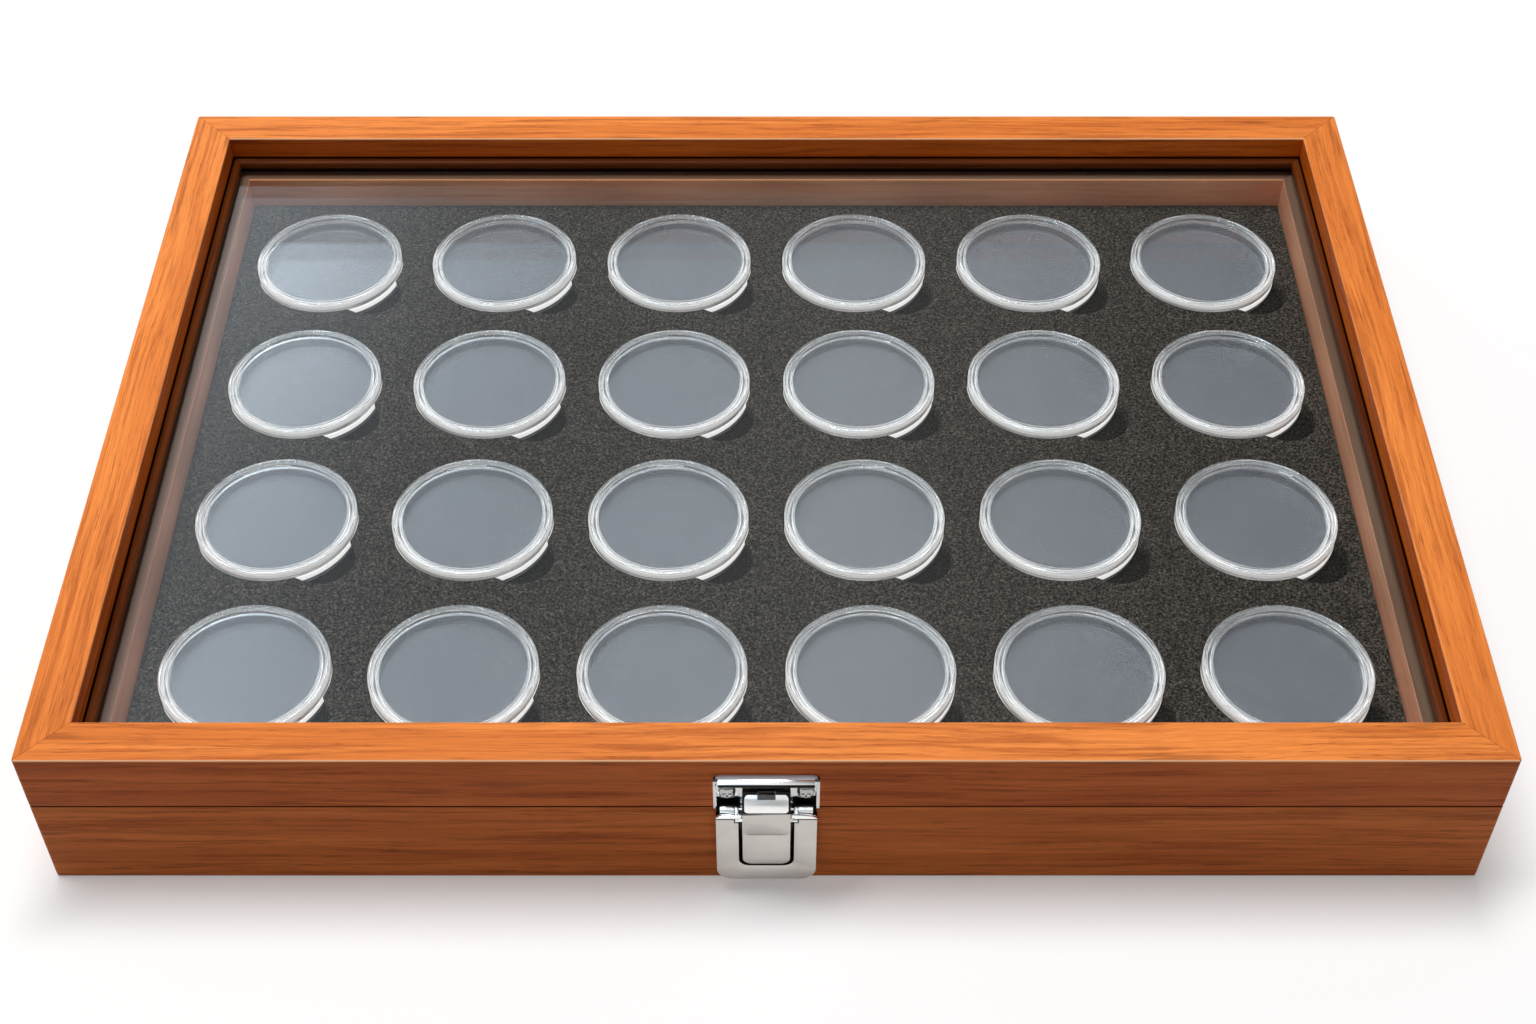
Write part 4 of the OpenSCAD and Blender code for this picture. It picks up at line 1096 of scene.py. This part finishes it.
def claw_tones(m, height, out, across):
    """A satin flap with a dark lower edge of painted shade, and a cap painted white as a highlight, with
    rounded corners in a painted dark outline. The outline lies where the distance to a rounded rectangle
    passes zero; the slot near the top is painted grey as shade."""
    cap = m.band(height, crease_z - 0.05 * MM, crease_z + 0.05 * MM)
    middle, reach_up = (crease_z + claw_high.z) / 2, (claw_high.z - crease_z) / 2
    sideways = (across - (claw_high.x - CAP_OUTLINE - CAP_CORNER)).at_least(0.0)
    upwards = ((height - middle).size() - (reach_up - CAP_OUTLINE - CAP_CORNER)).at_least(0.0)
    past = (sideways * sideways + upwards * upwards) ** 0.5 - CAP_CORNER
    slot = m.band(across, 2.4 * MM, 2.2 * MM) * m.band(
        height, claw_high.z - 1.6 * MM, claw_high.z - 1.4 * MM)
    # Painted highlight: the cap is white inside a black outline of painted shade, and its slot is painted
    # grey as shade.
    cap_colour = m.mix(m.band(past, -0.05 * MM, 0.05 * MM), POLISH_AND_HIGHLIGHT, METAL_SHADE_BLACK)
    cap_colour = m.mix(slot, cap_colour, SLOT_SHADE_GREY)
    # Painted shade: a dark line along the flap's lower edge.
    foot = m.band(height, claw_low.z + 0.30 * MM, claw_low.z + 0.15 * MM)
    colour = m.mix(cap, m.mix(foot, SATIN, EDGE_SHADE_GREY), cap_colour)
    return colour, m.band(cap, 0.0, 1.0, 0.26, 0.36), 1.0


def lever_tones(m, height, out, across):
    """Satin pad, a dark line of painted shade, and a polished roll round the pin, painted light as a
    highlight.
    """
    roll = m.band(height, roll_z - 0.1 * MM, roll_z + 0.1 * MM)
    line = roll * m.band(height, roll_z + 0.5 * MM, roll_z + 0.4 * MM)
    # Painted highlight on the roll round the pin, with a black line of painted shade along its lower edge.
    colour = m.mix(line, m.mix(roll, SATIN, POLISH_AND_HIGHLIGHT), METAL_SHADE_BLACK)
    return colour, m.band(roll, 0.0, 1.0, 0.26, 0.20), 1.0


def mount_tones(m, height, out, across):
    """Plate behind the lever painted black as shade, a satin pad that comes forward through its window, and
    polished ears above, painted light as a highlight."""
    plate = m.band(height, roll_z + 0.2 * MM, roll_z - 0.1 * MM)
    pad = m.band(out, mount_out - 0.40 * MM, mount_out - 0.30 * MM)
    # Painted shade: the plate below the roll is black round the satin pad; the ears above are painted white
    # as a highlight.
    colour = m.mix(plate, POLISH_AND_HIGHLIGHT, m.mix(pad, METAL_SHADE_BLACK, SATIN))
    return colour, m.band(plate, 0.0, 1.0, 0.20, 0.26), 1.0


keeper_nickel = mixed_metal("keeper nickel", keeper_tones)
claw_nickel = mixed_metal("claw nickel", claw_tones)
lever_nickel = mixed_metal("lever nickel", lever_tones)
mount_nickel = mixed_metal("mount nickel", mount_tones)
print("crease of the claw at mm:", round(crease_z / MM, 2))

# %% Soft edges on all metal
WELD_REACH = 0.002 * MM
EDGE_STEPS = 2
REAL_EDGE = math.radians(28)


def finish_metal(node, material, width):
    """Gives a measured node its plating and soft edges, width wide."""
    piece = refinish(node, material)
    piece.data.shade_smooth()
    weld = piece.modifiers.new("weld", "WELD")
    weld.merge_threshold = WELD_REACH
    bevel = piece.modifiers.new("soft edges", "BEVEL")
    bevel.width, bevel.segments = width, EDGE_STEPS
    bevel.limit_method, bevel.angle_limit = "ANGLE", REAL_EDGE
    bevel.harden_normals = True


for node, material, width in (
        ("latch_lever", lever_nickel, 0.16 * MM), ("latch_claw", claw_nickel, 0.10 * MM),
        ("latch_mount", mount_nickel, 0.14 * MM), ("keeper_plate", keeper_nickel, 0.10 * MM),
        ("keeper_screws", screw_nickel, 0.06 * MM), ("latch_mount_screws", bright_nickel, 0.06 * MM),
        ("latch_lever_pin", bright_nickel, 0.05 * MM), ("latch_claw_pin", bright_nickel, 0.05 * MM)):
    finish_metal(node, material, width)
for kind, width in (("leaf", 0.10 * MM), ("pin", 0.08 * MM), ("screws", 0.05 * MM)):
    for node in sorted(name for name in nodes if name.startswith("hinge_") and name.endswith(kind)):
        finish_metal(node, hinge_nickel, width)
print("metal finished")
